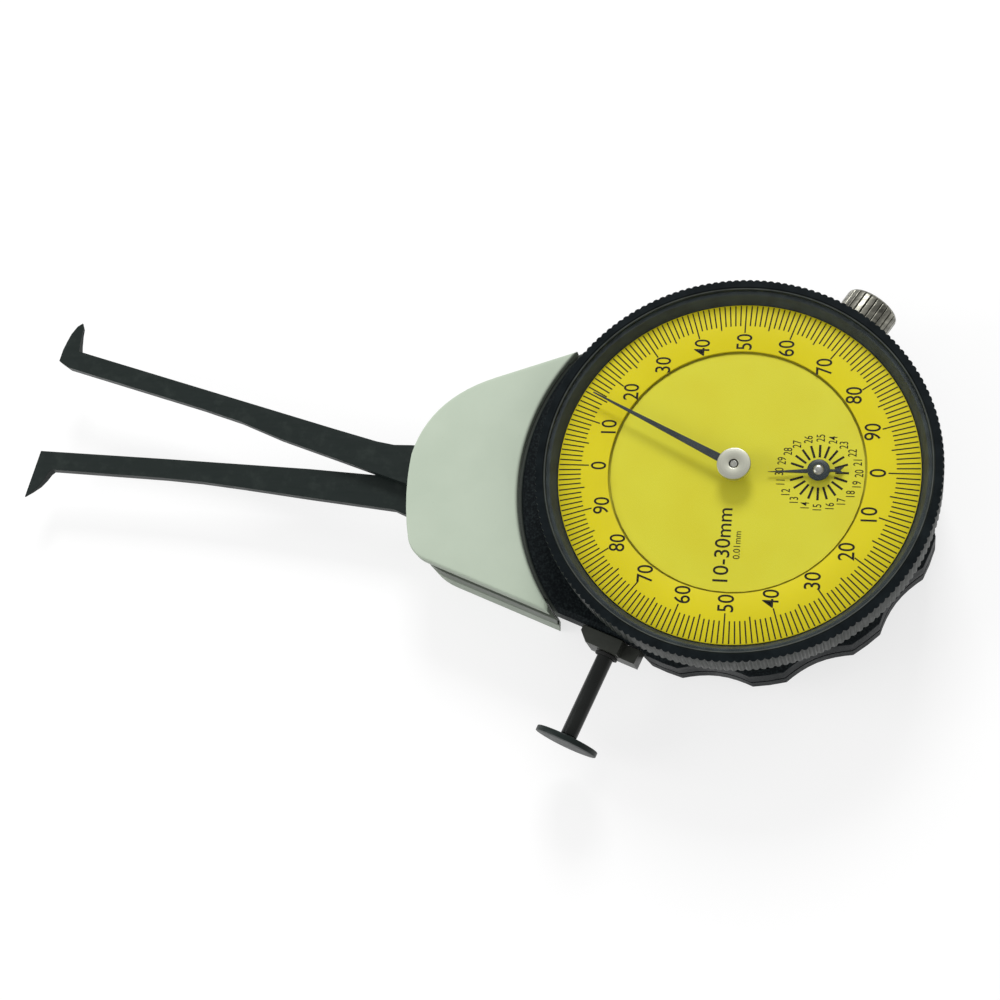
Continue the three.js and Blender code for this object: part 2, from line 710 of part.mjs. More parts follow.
// Fixed jaw: arm, and a root plate screwed to the frame
function fixedJaw() {
  const outline = [...fixedInnerShares, ...fixedHookShares, ...fixedOuterShares].map(armPoint);
  const arm = prism(outline, fixedJawBottom, fixedJawTop).translate(pivot[0], pivot[1], 0);
  const plate = coverBlock(coverWall + runningGap, fixedJawBottom, fixedJawTop);
  const holes = [...coverScrewPlaces(), ...jawScrewPlaces()].map((place) => post(screwRadius + fit,
    fixedJawBottom - overrun, fixedJawTop + overrun, place));
  const pivotHole = post(pinRadius + fit, fixedJawBottom - overrun, fixedJawTop + overrun, pivot);
  return cut(join(arm, plate), ...holes, pivotHole);
}

function pivotPin() {
  const headTop = fixedJawBottom - fit;
  return join(
    post(pinRadius, headTop - pinHeadHeight / 2, frameSeat - fit),
    post(pinHeadRadius, headTop - pinHeadHeight, headTop, [0, 0], 24),
  );
}

function arbor(low, high) {
  return post(arborRadius, low, high, [0, 0], 12);
}

function pinionSolid(phase, size, low, high) {
  return prism(gearOutline(pinionLeaves, size, leafShare, phase), low, high);
}

const leafPitch = 2 * Math.PI / pinionLeaves;

// Transfer arbor: its pinion has a gap towards the pivot at rest
function transferArbor() {
  const towardsPivot = transferAngle + Math.PI;
  const leaves = pinionSolid(towardsPivot + leafPitch / 2, sectorModule, sectorBottom - fit, sectorTop + fit);
  return join(arbor(lowerPlateBottom + fit, upperPlateTop), leaves);
}

const centreLine = Math.atan2(-transferPlace[1], -transferPlace[0]);

function wheel(teeth, size, phase, low) {
  const radius = teeth * size / 2;
  const hub = post(0.22 * radius, low, low + 1.5 * gearThickness, [0, 0], 24);
  const windows = [0, 1, 2, 3].map((i) => {
    const start = (i * 90 + spokeHalf) * degrees;
    const end = ((i + 1) * 90 - spokeHalf) * degrees;
    return [...arc(0.78 * radius, start, end, 5), ...arc(0.34 * radius, end, start, 3)];
  });
  const disc = prism(gearOutline(teeth, size, wheelShare, phase), low, low + gearThickness, windows);
  return cut(join(disc, hub), post(arborRadius + fit, low - overrun, low + 2 * overrun, [0, 0], 12));
}

// Centre arbor: its pinion has a gap towards the transfer arbor at rest
const leafPhase = centreLine + Math.PI + leafPitch / 2;

function centreArbor() {
  const leavesTop = counterBottom + gearThickness + fit;
  const leaves = pinionSolid(leafPhase, trainModule, transferBottom - fit, leavesTop);
  return join(arbor(lowerPlateBottom + fit, hubDiscTop - fit), leaves);
}

// The counter wheel is turned so that its tooth stands in the gap of the centre pinion
function counterPhase() {
  const gap = leafPhase + leafPitch / 2;
  const lead = gap - Math.round(gap / leafPitch) * leafPitch;
  return Math.PI - lead * pinionLeaves / counterTeeth;
}

function counterArbor() {
  return join(arbor(lowerPlateBottom + fit, smallHandHeight - fit),
    post(2 * arborRadius, counterBottom + 2 * gearThickness, counterBottom + 3 * gearThickness, [0, 0], 16));
}

function arborHoles(low, high) {
  return [transferPlace, centrePlace, counterPlace].map((place) => post(arborRadius + fit, low - overrun,
    high + overrun, place, 12));
}

const pillarPlaces = [35, 125, 285].map((angle) => polar(pillarCircle, angle * degrees));

function lowerPlate() {
  const holes = caseScrewPlaces().map((place) => post(screwRadius + fit, lowerPlateBottom - overrun,
    lowerPlateTop + overrun, place));
  const plate = post(plateRadius, lowerPlateBottom, lowerPlateTop, centrePlace, roundSteps);
  return cut(plate, ...arborHoles(lowerPlateBottom, lowerPlateTop), ...holes);
}

function upperPlate() {
  const holes = pillarPlaces.map((place) => post(screwRadius + fit, upperPlateBottom - overrun,
    upperPlateTop + overrun, place));
  const plate = post(plateRadius, upperPlateBottom, upperPlateTop, centrePlace, roundSteps);
  return cut(plate, ...arborHoles(upperPlateBottom, upperPlateTop), ...holes);
}

function pillar(place) {
  return cut(
    post(pillarRadius, lowerPlateTop + fit, upperPlateBottom - fit, place, 16),
    post(screwRadius + fit, upperPlateBottom - 2 * overrun, upperPlateBottom, place),
  );
}

function screw(place, headLow, headHigh, shaftEnd) {
  const [low, high] = [Math.min(headLow, shaftEnd), Math.max(headHigh, shaftEnd)];
  return join(post(screwHeadRadius, headLow, headHigh, place), post(screwRadius, low, high, place, 12));
}

function plateScrew(place) {
  const headLow = upperPlateTop + fit;
  return screw(place, headLow, headLow + screwHeadHeight, upperPlateBottom - overrun + fit);
}

function caseScrew(place) {
  return screw(place, fit, fit + screwHeadHeight, lowerPlateTop - fit);
}

function rearCoverScrew(place) {
  return screw(place, fit, fit + screwHeadHeight, frameSeat - 3 * fit);
}

function fixedJawScrew(place) {
  const headHigh = fixedJawBottom - fit;
  return screw(place, headHigh - screwHeadHeight, headHigh, frameSeat - 3 * fit);
}

// Dial: a raised disc on a flange, with three feet down to the upper plate
function dialPlate() {
  const disc = revolve([
    [0, dialFlangeBottom], [dialFlangeRadius, dialFlangeBottom], [dialFlangeRadius, dialFlangeTop],
    [dialDiscRadius, dialFlangeTop], [dialDiscRadius, dialDiscTop], [0, dialDiscTop],
  ]);
  const feet = [90, 200, 340].map((angle) => post(1.5 * arborRadius, upperPlateTop + fit, dialDiscTop - fit,
    polar(0.8 * dialDiscRadius, angle * degrees), 12));
  const holes = [centrePlace, counterPlace].map((place) => post(2 * arborRadius, dialFlangeBottom - overrun,
    dialDiscTop + overrun, place));
  return cut(join(disc, ...feet), ...holes);
}

function scaleRing() {
  const low = dialFaceHeight - ringThickness;
  return revolve([
    [ringInner, low], [ringOuter, low], [ringOuter, dialFaceHeight], [ringInner, dialFaceHeight],
  ]);
}

// Bezel: bore on the neck, ledge for the graduated ring, sloping wall, crystal seat and knurled rim
function bezel() {
  const body = bezelRadius - knurlDepth;
  const ledgeTop = dialFaceHeight - ringThickness - fit;
  const edge = 0.18 * (body - crystalSeatRadius);
  const turnedBody = revolve([
    [bezelBore, bezelBottom], [body, bezelBottom], [body, bezelTop - edge], [body - edge, bezelTop],
    [crystalSeatRadius, bezelTop], [crystalSeatRadius, crystalSeatHeight],
    [crystalSeatRadius - crystalLedge, crystalSeatHeight], [ringSeatRadius, dialFaceHeight],
    [ringSeatRadius, ledgeTop], [ringLedge, ledgeTop], [ringLedge, neckTop + fit], [bezelBore, neckTop + fit],
  ]);
  const outline = Array.from({ length: 2 * knurlTeeth }, (_, i) => polar(i % 2 ? body : bezelRadius,
    Math.PI * i / knurlTeeth));
  const hole = arc(body - knurlDepth, 0, 2 * Math.PI, roundSteps).slice(0, -1);
  return join(turnedBody, prism(outline, bezelBottom + knurlDepth / 2, bezelTop - knurlDepth, [hole]));
}

// Crystal: a shallow dome of even thickness with a flat rim
function crystal() {
  const rim = crystalSeatRadius - fit;
  const low = crystalSeatHeight + fit;
  const dome = (radius, base, rise) => [1, 0.75, 0.5, 0.25, 0].map((share) => [
    radius * share, base + rise * (1 - share ** 2)]);
  const top = dome(rim, low + crystalEdge, crystalRise);
  const under = dome(rim - crystalRim, low, crystalRise + crystalEdge - crystalThickness);
  return revolve([[rim, low], ...top, ...under.reverse()]);
}

function mainPointer() {
  const root = pointerRootWidth / 2;
  const tip = pointerTipWidth / 2;
  const eye = 0.94 * pointerEyeRadius;
  const blade = prism([
    [0, -root], [eye, -root], [pointerLength, -tip], [pointerLength, tip], [eye, root], [0, root],
  ], pointerHeight, pointerHeight + handThickness);
  const disc = post(pointerEyeRadius, pointerHeight, pointerHeight + handThickness, [0, 0], 28);
  const hole = post(hubCollarRadius + fit, pointerHeight - overrun, pointerHeight + overrun, [0, 0], 24);
  return cut(join(blade, disc), hole);
}

function pointerHub() {
  const bore = arborRadius + fit;
  const collarLow = dialDiscTop + runningGap;
  return revolve([
    [bore, collarLow], [hubCollarRadius, collarLow], [hubCollarRadius, hubDiscBottom],
    [hubDiscRadius, hubDiscBottom], [hubDiscRadius, hubDiscTop - fit / 2],
    [hubDiscRadius - fit / 2, hubDiscTop],
    [bore, hubDiscTop],
  ], 28);
}

function smallHand() {
  const half = smallHandWidth / 2;
  const root = 0.15 * smallHandLength;
  const blade = prism([[root, -half], [smallHandLength, 0], [root, half]], smallHandHeight,
    smallHandHeight + handThickness);
  const tail = prism([
    [-0.6 * smallHandTail, -0.5 * half], [0, -half], [0, half], [-0.6 * smallHandTail, 0.5 * half],
    [-smallHandTail, 1.6 * half], [-0.85 * smallHandTail, 0], [-smallHandTail, -1.6 * half],
  ], smallHandHeight, smallHandHeight + handThickness);
  const disc = post(0.75 * smallHubRadius, smallHandHeight, smallHandHeight + handThickness, [0, 0], 20);
  return join(blade, tail, disc);
}

function smallHub() {
  const low = smallHandHeight + handThickness + fit / 2;
  const rise = smallHubTop - low;
  return revolve([
    [0, low], [smallHubRadius, low], [smallHubRadius, low + 0.3 * rise],
    [0.7 * smallHubRadius, low + 0.5 * rise], [0.62 * smallHubRadius, low + 0.8 * rise],
    [0.5 * smallHubRadius, smallHubTop], [0, smallHubTop],
  ], 32);
}

// Pieces on the lower side, drawn with +X outwards and +Y along the side
function guideBlock() {
  const start = sideOffset + fit;
  const end = start + blockThickness;
  const near = plungerPlace - blockLength / 2;
  const far = plungerPlace + blockLength / 2;
  const low = leverMiddle - blockHeight / 2;
  const high = leverMiddle + blockHeight / 2;
  const body = prism([
    [start, near], [end - blockBevel, near], [end, near + blockBevel], [end, far], [start, far],
  ].reverse(), low, high);
  const step = slab([start - overrun, far - stepLength], [end + overrun, far + overrun], high - stepDrop,
    high + overrun);
  const hole = barAlong(plungerRodRadius + fit, start - overrun, end + overrun)
    .translate(0, plungerPlace, leverMiddle);
  return cut(body, step, hole);
}

function guideBushing() {
  const bushing = barAlong(bushingRadius, caseCavity + fit, sideOffset);
  const hole = barAlong(plungerRodRadius + fit, 0, sideOffset + overrun);
  return cut(bushing, hole).translate(0, plungerPlace, leverMiddle);
}

function rodSeal() {
  const start = sideOffset + 2 * fit + blockThickness;
  const ring = barAlong(sealRadius, start, start + sealThickness, 24);
  const hole = barAlong(plungerRodRadius + fit, 0, start + overrun);
  return cut(ring, hole).translate(0, plungerPlace, leverMiddle);
}

// The rod's inner end stands a running gap off the lever's tail at rest
const tailSide = pivotDistance * Math.sin(sideAngle * degrees) + tailReach * Math.sin(swing / 2);
const plungerInner = tailSide + runningGap;

function plungerRod() {
  const headInner = plungerHeadFace - plungerHeadThickness;
  const bar = barAlong(plungerRodRadius, plungerInner + plungerRodRadius / 2, headInner - fit, 24);
  const nose = new THREE.CylinderGeometry(plungerRodRadius, 0.5 * plungerRodRadius, plungerRodRadius / 2, 24)
    .rotateZ(-Math.PI / 2)
    .translate(plungerInner + plungerRodRadius / 4, 0, 0);
  return join(bar, nose).translate(0, plungerPlace, leverMiddle);
}

function plungerHead() {
  const inner = plungerHeadFace - plungerHeadThickness;
  const edge = 0.1 * plungerHeadThickness;
  return revolve([
    [0, inner], [plungerHeadRadius - edge, inner], [plungerHeadRadius, inner + edge],
    [plungerHeadRadius, plungerHeadFace - edge], [plungerHeadRadius - edge, plungerHeadFace],
    [0, plungerHeadFace],
  ], 36).rotateY(Math.PI / 2).translate(0, plungerPlace, leverMiddle);
}

// Clamp screw, drawn along +X from the pointer axis
function clampScrew() {
  const pitch = 2 * Math.PI / clampFlutes;
  const flutes = Array.from({ length: clampFlutes }, (_, i) => [
    polar(clampKnobRadius - clampFluteDepth, i * pitch),
    ...[0.22, 0.78].map((share) => polar(clampKnobRadius, (i + share) * pitch)),
  ]).flat();
  const fluted = prism(flutes, clampKnobStart, clampKnobEnd);
  const rounded = revolve([
    [0, clampKnobStart - fit], [clampKnobRadius, clampKnobStart - fit],
    [clampKnobRadius, clampKnobEnd - clampRound],
    [clampKnobRadius - 0.3 * clampRound, clampKnobEnd - 0.3 * clampRound],
    [clampKnobRadius - clampRound, clampKnobEnd], [0, clampKnobEnd],
  ], 40);
  const shaft = post(clampShaftRadius, neckRadius - fit, clampKnobStart + fit, [0, 0], 16);
  return join(common(fluted, rounded), shaft).rotateY(Math.PI / 2).translate(0, 0, clampHeight);
}

// Return spring: draws the lever's branch towards a post under the upper plate
const springPost = [0.22 * plateRadius, 0.41 * plateRadius];

function springAnchor() {
  return post(2 * arborRadius, leverBottom - fit, upperPlateBottom - fit, springPost, 16);
}

function wire(points, radius, steps, sides) {
  const path = new THREE.CatmullRomCurve3(points.map((p) => new THREE.Vector3(...p)));
  const section = shapeOf(arc(radius, 0, 2 * Math.PI, sides).slice(0, -1));
  return new THREE.ExtrudeGeometry(section, { steps, extrudePath: path, bevelEnabled: false });
}

function returnSpring() {
  const branchPoint = turned([lugCentre], sectorLine - restTurn)[0];
  const from = [pivot[0] + branchPoint[0], pivot[1] + branchPoint[1]];
  const to = springPost;
  const length = Math.hypot(to[0] - from[0], to[1] - from[1]);
  const heading = Math.atan2(to[1] - from[1], to[0] - from[0]);
  const start = 0.24 * length;
  const end = length - 4 * arborRadius - springWire;
  const coilSteps = 8 * springTurns;
  const middle = (sectorTop + upperPlateBottom) / 2;
  const eyeHeight = leverTop + fit + springWire;
  const points = [[0, 0, eyeHeight], [0.12 * length, 0, eyeHeight]];
  for (let i = 0; i <= coilSteps; i += 1) {
    const turn = 2 * Math.PI * i / 8;
    points.push([start + (end - start) * i / coilSteps, springCoilRadius * Math.sin(turn),
      middle + springCoilRadius * Math.cos(turn)]);
  }
  return wire(points, springWire, 9 * springTurns, 5).rotateZ(heading).translate(from[0], from[1], 0);
}

function hairspring() {
  const turns = hairspringTurns * 14;
  const points = Array.from({ length: turns + 1 }, (_, i) => {
    const radius = hairspringInner + (hairspringOuter - hairspringInner) * i / turns;
    const [x, y] = polar(radius, 2 * Math.PI * i / 14);
    return [x, y, counterBottom + 2.6 * gearThickness];
  });
  const path = new THREE.CatmullRomCurve3(points.map((p) => new THREE.Vector3(...p)));
  const half = [hairspringHeight / 2, hairspringWire / 2];
  const section = shapeOf([[-half[0], -half[1]], [half[0], -half[1]], half, [-half[0], half[1]]]);
  return new THREE.ExtrudeGeometry(section, { steps: turns, extrudePath: path, bevelEnabled: false })
    .translate(smallDialOffset, 0, 0);
}

const leftZero = Math.PI; // the dial's zero that faces the jaws
const divisionsPast = 15; // the pointer stands this many divisions beyond it
const pointerAngle = leftZero - divisionsPast * 2 * Math.PI / 200;
const smallHandAngle = leftZero + 0.01 * divisionsPast * 2 * Math.PI / 20;

const caliper = new THREE.Group();
caliper.add(
  piece('case_frame', caseFrame(), 'wrinkleBlack'),
  piece('rear_case', rearCase(), 'wrinkleBlack'),
  piece('front_cover', frontCover(), 'paleGrey'),
  piece('rear_cover', rearCover(), 'paleGrey'),
  piece('fixed_jaw', fixedJaw(), 'blackSteel'),
  piece('lower_plate', lowerPlate(), 'brass'),
  piece('upper_plate', upperPlate(), 'brass'),
  ...copies('plate_pillar', pillarPlaces, pillar, 'brass'),
  ...copies('plate_screw', pillarPlaces, plateScrew, 'brightSteel'),
  ...copies('case_screw', caseScrewPlaces(), caseScrew, 'blackSteel'),
  ...copies('rear_cover_screw', coverScrewPlaces(), rearCoverScrew, 'blackSteel'),
  ...copies('fixed_jaw_screw', jawScrewPlaces(), fixedJawScrew, 'blackSteel'),
  piece('dial_plate', dialPlate(), 'yellowDial'),
  piece('scale_ring', scaleRing(), 'yellowDial'),
  piece('bezel', bezel(), 'satinBlack'),
  piece('crystal', crystal(), 'clear'),
  piece('return_spring', returnSpring(), 'brightSteel'),
  piece('spring_anchor', springAnchor(), 'brightSteel'),
  piece('hairspring', hairspring(), 'blueSteel'),
  group(pivot, 0, piece('jaw_pivot_pin', pivotPin(), 'brightSteel')),
  group(pivot, -restTurn,
    piece('moving_jaw', movingJaw(), 'blackSteel'),
    piece('sector_gear', sectorGear(), 'brass'),
    ...copies('sector_rivet', rivetPlaces(), sectorRivet, 'brightSteel')),
  group(transferPlace, 0,
    piece('transfer_arbor', transferArbor(), 'brightSteel'),
    piece('transfer_wheel', wheel(transferTeeth, trainModule, centreLine, transferBottom), 'brass')),
  group(centrePlace, 0, piece('centre_arbor', centreArbor(), 'brightSteel')),
  group(centrePlace, pointerAngle,
    piece('main_pointer', mainPointer(), 'blueSteel'),
    piece('pointer_hub', pointerHub(), 'brightSteel')),
  group(counterPlace, 0,
    piece('counter_arbor', counterArbor(), 'brightSteel'),
    piece('counter_wheel', wheel(counterTeeth, trainModule, counterPhase(), counterBottom), 'brass')),
  group(counterPlace, smallHandAngle,
    piece('small_hand', smallHand(), 'blueSteel'),
    piece('small_hand_hub', smallHub(), 'brightSteel')),
  group(centrePlace, outAngle,
    piece('guide_block', guideBlock(), 'satinBlack'),
    piece('guide_bushing', guideBushing(), 'blackSteel'),
    piece('rod_seal', rodSeal(), 'blackRubber'),
    piece('plunger_rod', plungerRod(), 'blackSteel'),
    piece('plunger_head', plungerHead(), 'blackSteel')),
  group(centrePlace, clampAngle * degrees, piece('clamp_screw', clampScrew(), 'brightSteel')),
);

export default caliper;
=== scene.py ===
import json
import math

import bmesh
import bpy
import numpy as np
from mathutils import Matrix, Vector
from mathutils.geometry import tessellate_polygon


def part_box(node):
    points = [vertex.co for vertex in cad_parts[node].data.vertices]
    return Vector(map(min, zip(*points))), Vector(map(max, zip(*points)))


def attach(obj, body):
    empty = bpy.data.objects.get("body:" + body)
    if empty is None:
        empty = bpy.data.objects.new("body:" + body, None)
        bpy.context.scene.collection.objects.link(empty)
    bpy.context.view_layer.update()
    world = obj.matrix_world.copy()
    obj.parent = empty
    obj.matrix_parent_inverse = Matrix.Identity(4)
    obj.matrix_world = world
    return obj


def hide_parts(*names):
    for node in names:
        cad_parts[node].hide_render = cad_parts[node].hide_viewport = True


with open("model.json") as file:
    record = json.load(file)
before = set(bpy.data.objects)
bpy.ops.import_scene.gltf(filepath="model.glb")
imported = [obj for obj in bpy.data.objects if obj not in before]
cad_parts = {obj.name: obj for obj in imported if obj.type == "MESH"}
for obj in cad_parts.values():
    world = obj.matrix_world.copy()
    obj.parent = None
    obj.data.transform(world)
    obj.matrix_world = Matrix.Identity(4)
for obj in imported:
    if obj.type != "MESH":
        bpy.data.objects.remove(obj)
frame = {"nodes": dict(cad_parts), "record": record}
nodes = frame["nodes"]
jointAxes = {joint["name"]: joint for joint in frame["record"]["behaviour"]["joints"]}
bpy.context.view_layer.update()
print("frame loaded:", len(nodes), "nodes")

# shapes below are worked out in millimetres and made metres as each mesh is built
mm = 0.001
mergeWithin = 0.0005


def boxOf(node):
    # lowest and highest corner of a node, in millimetres
    low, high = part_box(node)
    return np.array(low) / mm, np.array(high) / mm


# shader helpers

def newMaterial(name):
    material = bpy.data.materials.new(name)
    material.use_nodes = True
    tree = material.node_tree
    tree.nodes.clear()
    output = tree.nodes.new("ShaderNodeOutputMaterial")
    shader = tree.nodes.new("ShaderNodeBsdfPrincipled")
    tree.links.new(shader.outputs[0], output.inputs[0])
    return material, tree, shader


def outputOf(tree):
    return tree.nodes["Material Output"]


def addNode(tree, kind, settings=None, inputs=None):
    node = tree.nodes.new(kind)
    for key, value in (settings or {}).items():
        setattr(node, key, value)
    for key, value in (inputs or {}).items():
        if isinstance(value, bpy.types.NodeSocket):
            tree.links.new(value, node.inputs[key])
        else:
            node.inputs[key].default_value = value
    return node


def placeOn(tree, turn=0.0, stretch=(1.0, 1.0, 1.0)):
    # object coordinates turned about Z and stretched
    place = addNode(tree, "ShaderNodeTexCoord").outputs["Object"]
    settings = {"Vector": place, "Rotation": (0.0, 0.0, turn), "Scale": stretch}
    return addNode(tree, "ShaderNodeMapping", {}, settings).outputs[0]


# the range that most of a noise's values lie in
middling = (0.3, 0.7)


def noiseAt(tree, size, detail=3.0, roughness=0.5, vector=None):
    # noise whose features are about size millimetres across
    vector = vector or addNode(tree, "ShaderNodeTexCoord").outputs["Object"]
    settings = {"Vector": vector, "Scale": 1.0 / (size * mm), "Detail": detail, "Roughness": roughness}
    return addNode(tree, "ShaderNodeTexNoise", {}, settings).outputs[0]


def radiusAt(tree):
    # distance from the pointer's axis
    flat = placeOn(tree, stretch=(1.0, 1.0, 0.0))
    return addNode(tree, "ShaderNodeVectorMath", {"operation": "LENGTH"}, {0: flat}).outputs["Value"]


def heightAt(tree):
    place = addNode(tree, "ShaderNodeTexCoord").outputs["Object"]
    return addNode(tree, "ShaderNodeSeparateXYZ", {}, {0: place}).outputs[2]


def ringsAt(tree, size):
    # noise that depends only on the distance from the pointer's axis, as a lathe leaves it
    line = addNode(tree, "ShaderNodeCombineXYZ", {}, {0: radiusAt(tree)}).outputs[0]
    return noiseAt(tree, size, 3.0, 0.6, line)


def ramp(tree, value, low, high, lowValue, highValue):
    settings = {"Value": value, "From Min": low, "From Max": high, "To Min": lowValue, "To Max": highValue}
    return addNode(tree, "ShaderNodeMapRange", {}, settings).outputs[0]


def mixColour(tree, fac, first, second, blend="MIX"):
    node = addNode(tree, "ShaderNodeMix", {"data_type": "RGBA", "blend_type": blend})
    for index, value in ((0, fac), (6, first), (7, second)):
        if isinstance(value, bpy.types.NodeSocket):
            tree.links.new(value, node.inputs[index])
        else:
            node.inputs[index].default_value = value
    return node.outputs[2]


def bumpFrom(tree, height, depth, strength=1.0, edge=0.0):
    # bump of depth millimetres, over edges that look rounded by edge millimetres
    settings = {"Height": height, "Distance": depth * mm, "Strength": strength}
    if edge:
        bevel = addNode(tree, "ShaderNodeBevel", {"samples": 6}, {"Radius": edge * mm})
        settings["Normal"] = bevel.outputs[0]
    return addNode(tree, "ShaderNodeBump", {}, settings).outputs[0]


def setShine(shader, roughness, level):
    # roughness is a number or a socket; level is the specular level, 0.5 for plain plastic
    if isinstance(roughness, bpy.types.NodeSocket):
        shader.id_data.links.new(roughness, shader.inputs["Roughness"])
    else:
        shader.inputs["Roughness"].default_value = roughness
    shader.inputs["Specular IOR Level"].default_value = level


def rgb(r, g, b):
    return (r, g, b, 1.0)


def scaled(colour, share):
    return tuple(value * share for value in colour)


# surfaces

wrinkleLook = {"dark": (0.0024, 0.0042, 0.0056), "light": (0.0175, 0.0250, 0.0262), "grain": 0.28,
               "crest": (0.46, 0.70), "cloud": 5.0, "roughness": (0.44, 0.60), "depth": 0.09, "edge": 0.12,
               # bevel and its radii: painted light that lifts the shade on the bevel beside the covers'
               # concave end
               "shine": 0.08, "bevel": (0.075, 0.085, 0.075), "paintedLightRadii": (31.5, 31.75)}


def wrinklePaint():
    # painted light: the bevel that faces the covers' concave end is painted lighter, blending in between
    # two radii, to lift the shade that falls on it beside the cover's wall
    look = wrinkleLook
    material, tree, shader = newMaterial("wrinklePaint")
    grain = noiseAt(tree, look["grain"], 4.0, 0.62)
    cloud = noiseAt(tree, look["cloud"], 2.0)
    crest = ramp(tree, grain, *look["crest"], 0.0, 1.0)
    colour = mixColour(tree, crest, rgb(*look["dark"]), rgb(*look["light"]))
    # painted light: a lighter colour laid over the bevel's shade
    paintedLightShare = ramp(tree, radiusAt(tree), *scaled(look["paintedLightRadii"], mm), 0.0, 1.0)
    colour = mixColour(tree, paintedLightShare, colour, rgb(*look["bevel"]))
    tree.links.new(colour, shader.inputs["Base Color"])
    tree.links.new(bumpFrom(tree, grain, look["depth"], 0.8, look["edge"]), shader.inputs["Normal"])
    setShine(shader, ramp(tree, cloud, *middling, *look["roughness"]), look["shine"])
    return material


satinLook = {"colour": (0.0130, 0.0150, 0.0145), "roughness": (0.27, 0.40), "cloud": 3.0, "fine": 0.12,
             "lighter": 1.5, "depth": 0.006, "shine": 0.3}


def satinBlack(name, colour, roughness, edge=0.10):
    material, tree, shader = newMaterial(name)
    cloud = noiseAt(tree, satinLook["cloud"], 4.0, 0.6)
    fine = noiseAt(tree, satinLook["fine"], 2.0)
    patchy = ramp(tree, cloud, 0.35, 0.7, 0.0, 1.0)
    mottled = mixColour(tree, patchy, rgb(*colour), rgb(*scaled(colour, satinLook["lighter"])))
    tree.links.new(mottled, shader.inputs["Base Color"])
    tree.links.new(bumpFrom(tree, fine, satinLook["depth"], 0.5, edge), shader.inputs["Normal"])
    setShine(shader, ramp(tree, cloud, *middling, *roughness), satinLook["shine"])
    return material


coverLook = {"colour": (0.525, 0.605, 0.490), "shade": (0.490, 0.570, 0.458), "cloud": 9.0, "fine": 0.30,
             "speck": (0.21, 0.24, 0.20), "speckSize": 0.22, "speckRange": (0.745, 0.79),
             "speckShare": 0.45, "roughness": (0.44, 0.56), "depth": 0.008, "edge": 0.18, "shine": 0.3}


def coverPaint(name="coverPaint", share=1.0, seam=None, dim=1.0, below=False):
    # painted shade: between the two heights of seam the paint is painted dimmer, going up, or going down
    # where below is true
    look = coverLook
    material, tree, shader = newMaterial(name)
    cloud = noiseAt(tree, look["cloud"], 3.0)
    fine = noiseAt(tree, look["fine"], 3.0, 0.6)
    speck = ramp(tree, noiseAt(tree, look["speckSize"], 2.0), *look["speckRange"], 0.0, look["speckShare"])
    patchy = ramp(tree, cloud, 0.35, 0.65, 0.0, 1.0)
    light, shade = scaled(look["colour"], share), scaled(look["shade"], share)
    base = mixColour(tree, patchy, rgb(*light), rgb(*shade))
    if seam:
        ends = (1.0, 0.0) if below else (0.0, 1.0)
        # painted shade: mask of where the paint is dimmed
        shaded = ramp(tree, heightAt(tree), *scaled(seam, mm), *ends)
        base = mixColour(tree, shaded, base, rgb(*scaled(light, dim)))
    tree.links.new(mixColour(tree, speck, base, rgb(*look["speck"])), shader.inputs["Base Color"])
    tree.links.new(bumpFrom(tree, fine, look["depth"], 0.5, look["edge"]), shader.inputs["Normal"])
    setShine(shader, ramp(tree, cloud, *middling, *look["roughness"]), look["shine"])
    return material


steelLook = {"colour": (0.0105, 0.0165, 0.0150), "worn": (0.027, 0.036, 0.032), "wornRange": (0.50, 0.80),
             "wornShare": 0.7, "cloud": 2.4, "lines": 0.45, "run": 0.10, "roughness": (0.36, 0.54),
             "depth": 0.008, "edge": 0.10, "shine": 0.2}


def blackenedSteel():
    look = steelLook
    material, tree, shader = newMaterial("blackenedSteel")
    cloud = noiseAt(tree, look["cloud"], 5.0, 0.65)
    along = placeOn(tree, stretch=(look["run"], 1.0, 1.0))
    lines = noiseAt(tree, look["lines"], 3.0, 0.6, along)
    worn = ramp(tree, cloud, *look["wornRange"], 0.0, look["wornShare"])
    colour = mixColour(tree, worn, rgb(*look["colour"]), rgb(*look["worn"]))
    tree.links.new(colour, shader.inputs["Base Color"])
    tree.links.new(bumpFrom(tree, lines, look["depth"], 0.5, look["edge"]), shader.inputs["Normal"])
    setShine(shader, ramp(tree, lines, *middling, *look["roughness"]), look["shine"])
    return material


metalLook = {"marks": 0.25, "depth": 0.005, "edge": 0.06}


def metal(name, colour, roughness, lines=None, worn=0.80):
    # bare metal whose tool marks follow lines, a function that gives their noise
    material, tree, shader = newMaterial(name)
    marks = lines(tree) if lines else noiseAt(tree, metalLook["marks"], 4.0, 0.6)
    patchy = ramp(tree, marks, 0.35, 0.7, 0.0, 1.0)
    tone = mixColour(tree, patchy, rgb(*colour), rgb(*scaled(colour, worn)))
    tree.links.new(tone, shader.inputs["Base Color"])
    tree.links.new(ramp(tree, marks, *middling, *roughness), shader.inputs["Roughness"])
    normal = bumpFrom(tree, marks, metalLook["depth"], 0.5, metalLook["edge"])
    tree.links.new(normal, shader.inputs["Normal"])
    shader.inputs["Metallic"].default_value = 1.0
    return material


dialLook = {"ring": (0.760, 0.650, 0.002), "centre": (0.710, 0.665, 0.034), "patch": (0.640, 0.520, 0.000),
            "patchRange": (0.40, 0.75), "patchShare": 0.30, "cloud": 9.0, "fine": 0.10,
            "roughness": (0.46, 0.56), "depth": 0.003, "shine": 0.25}


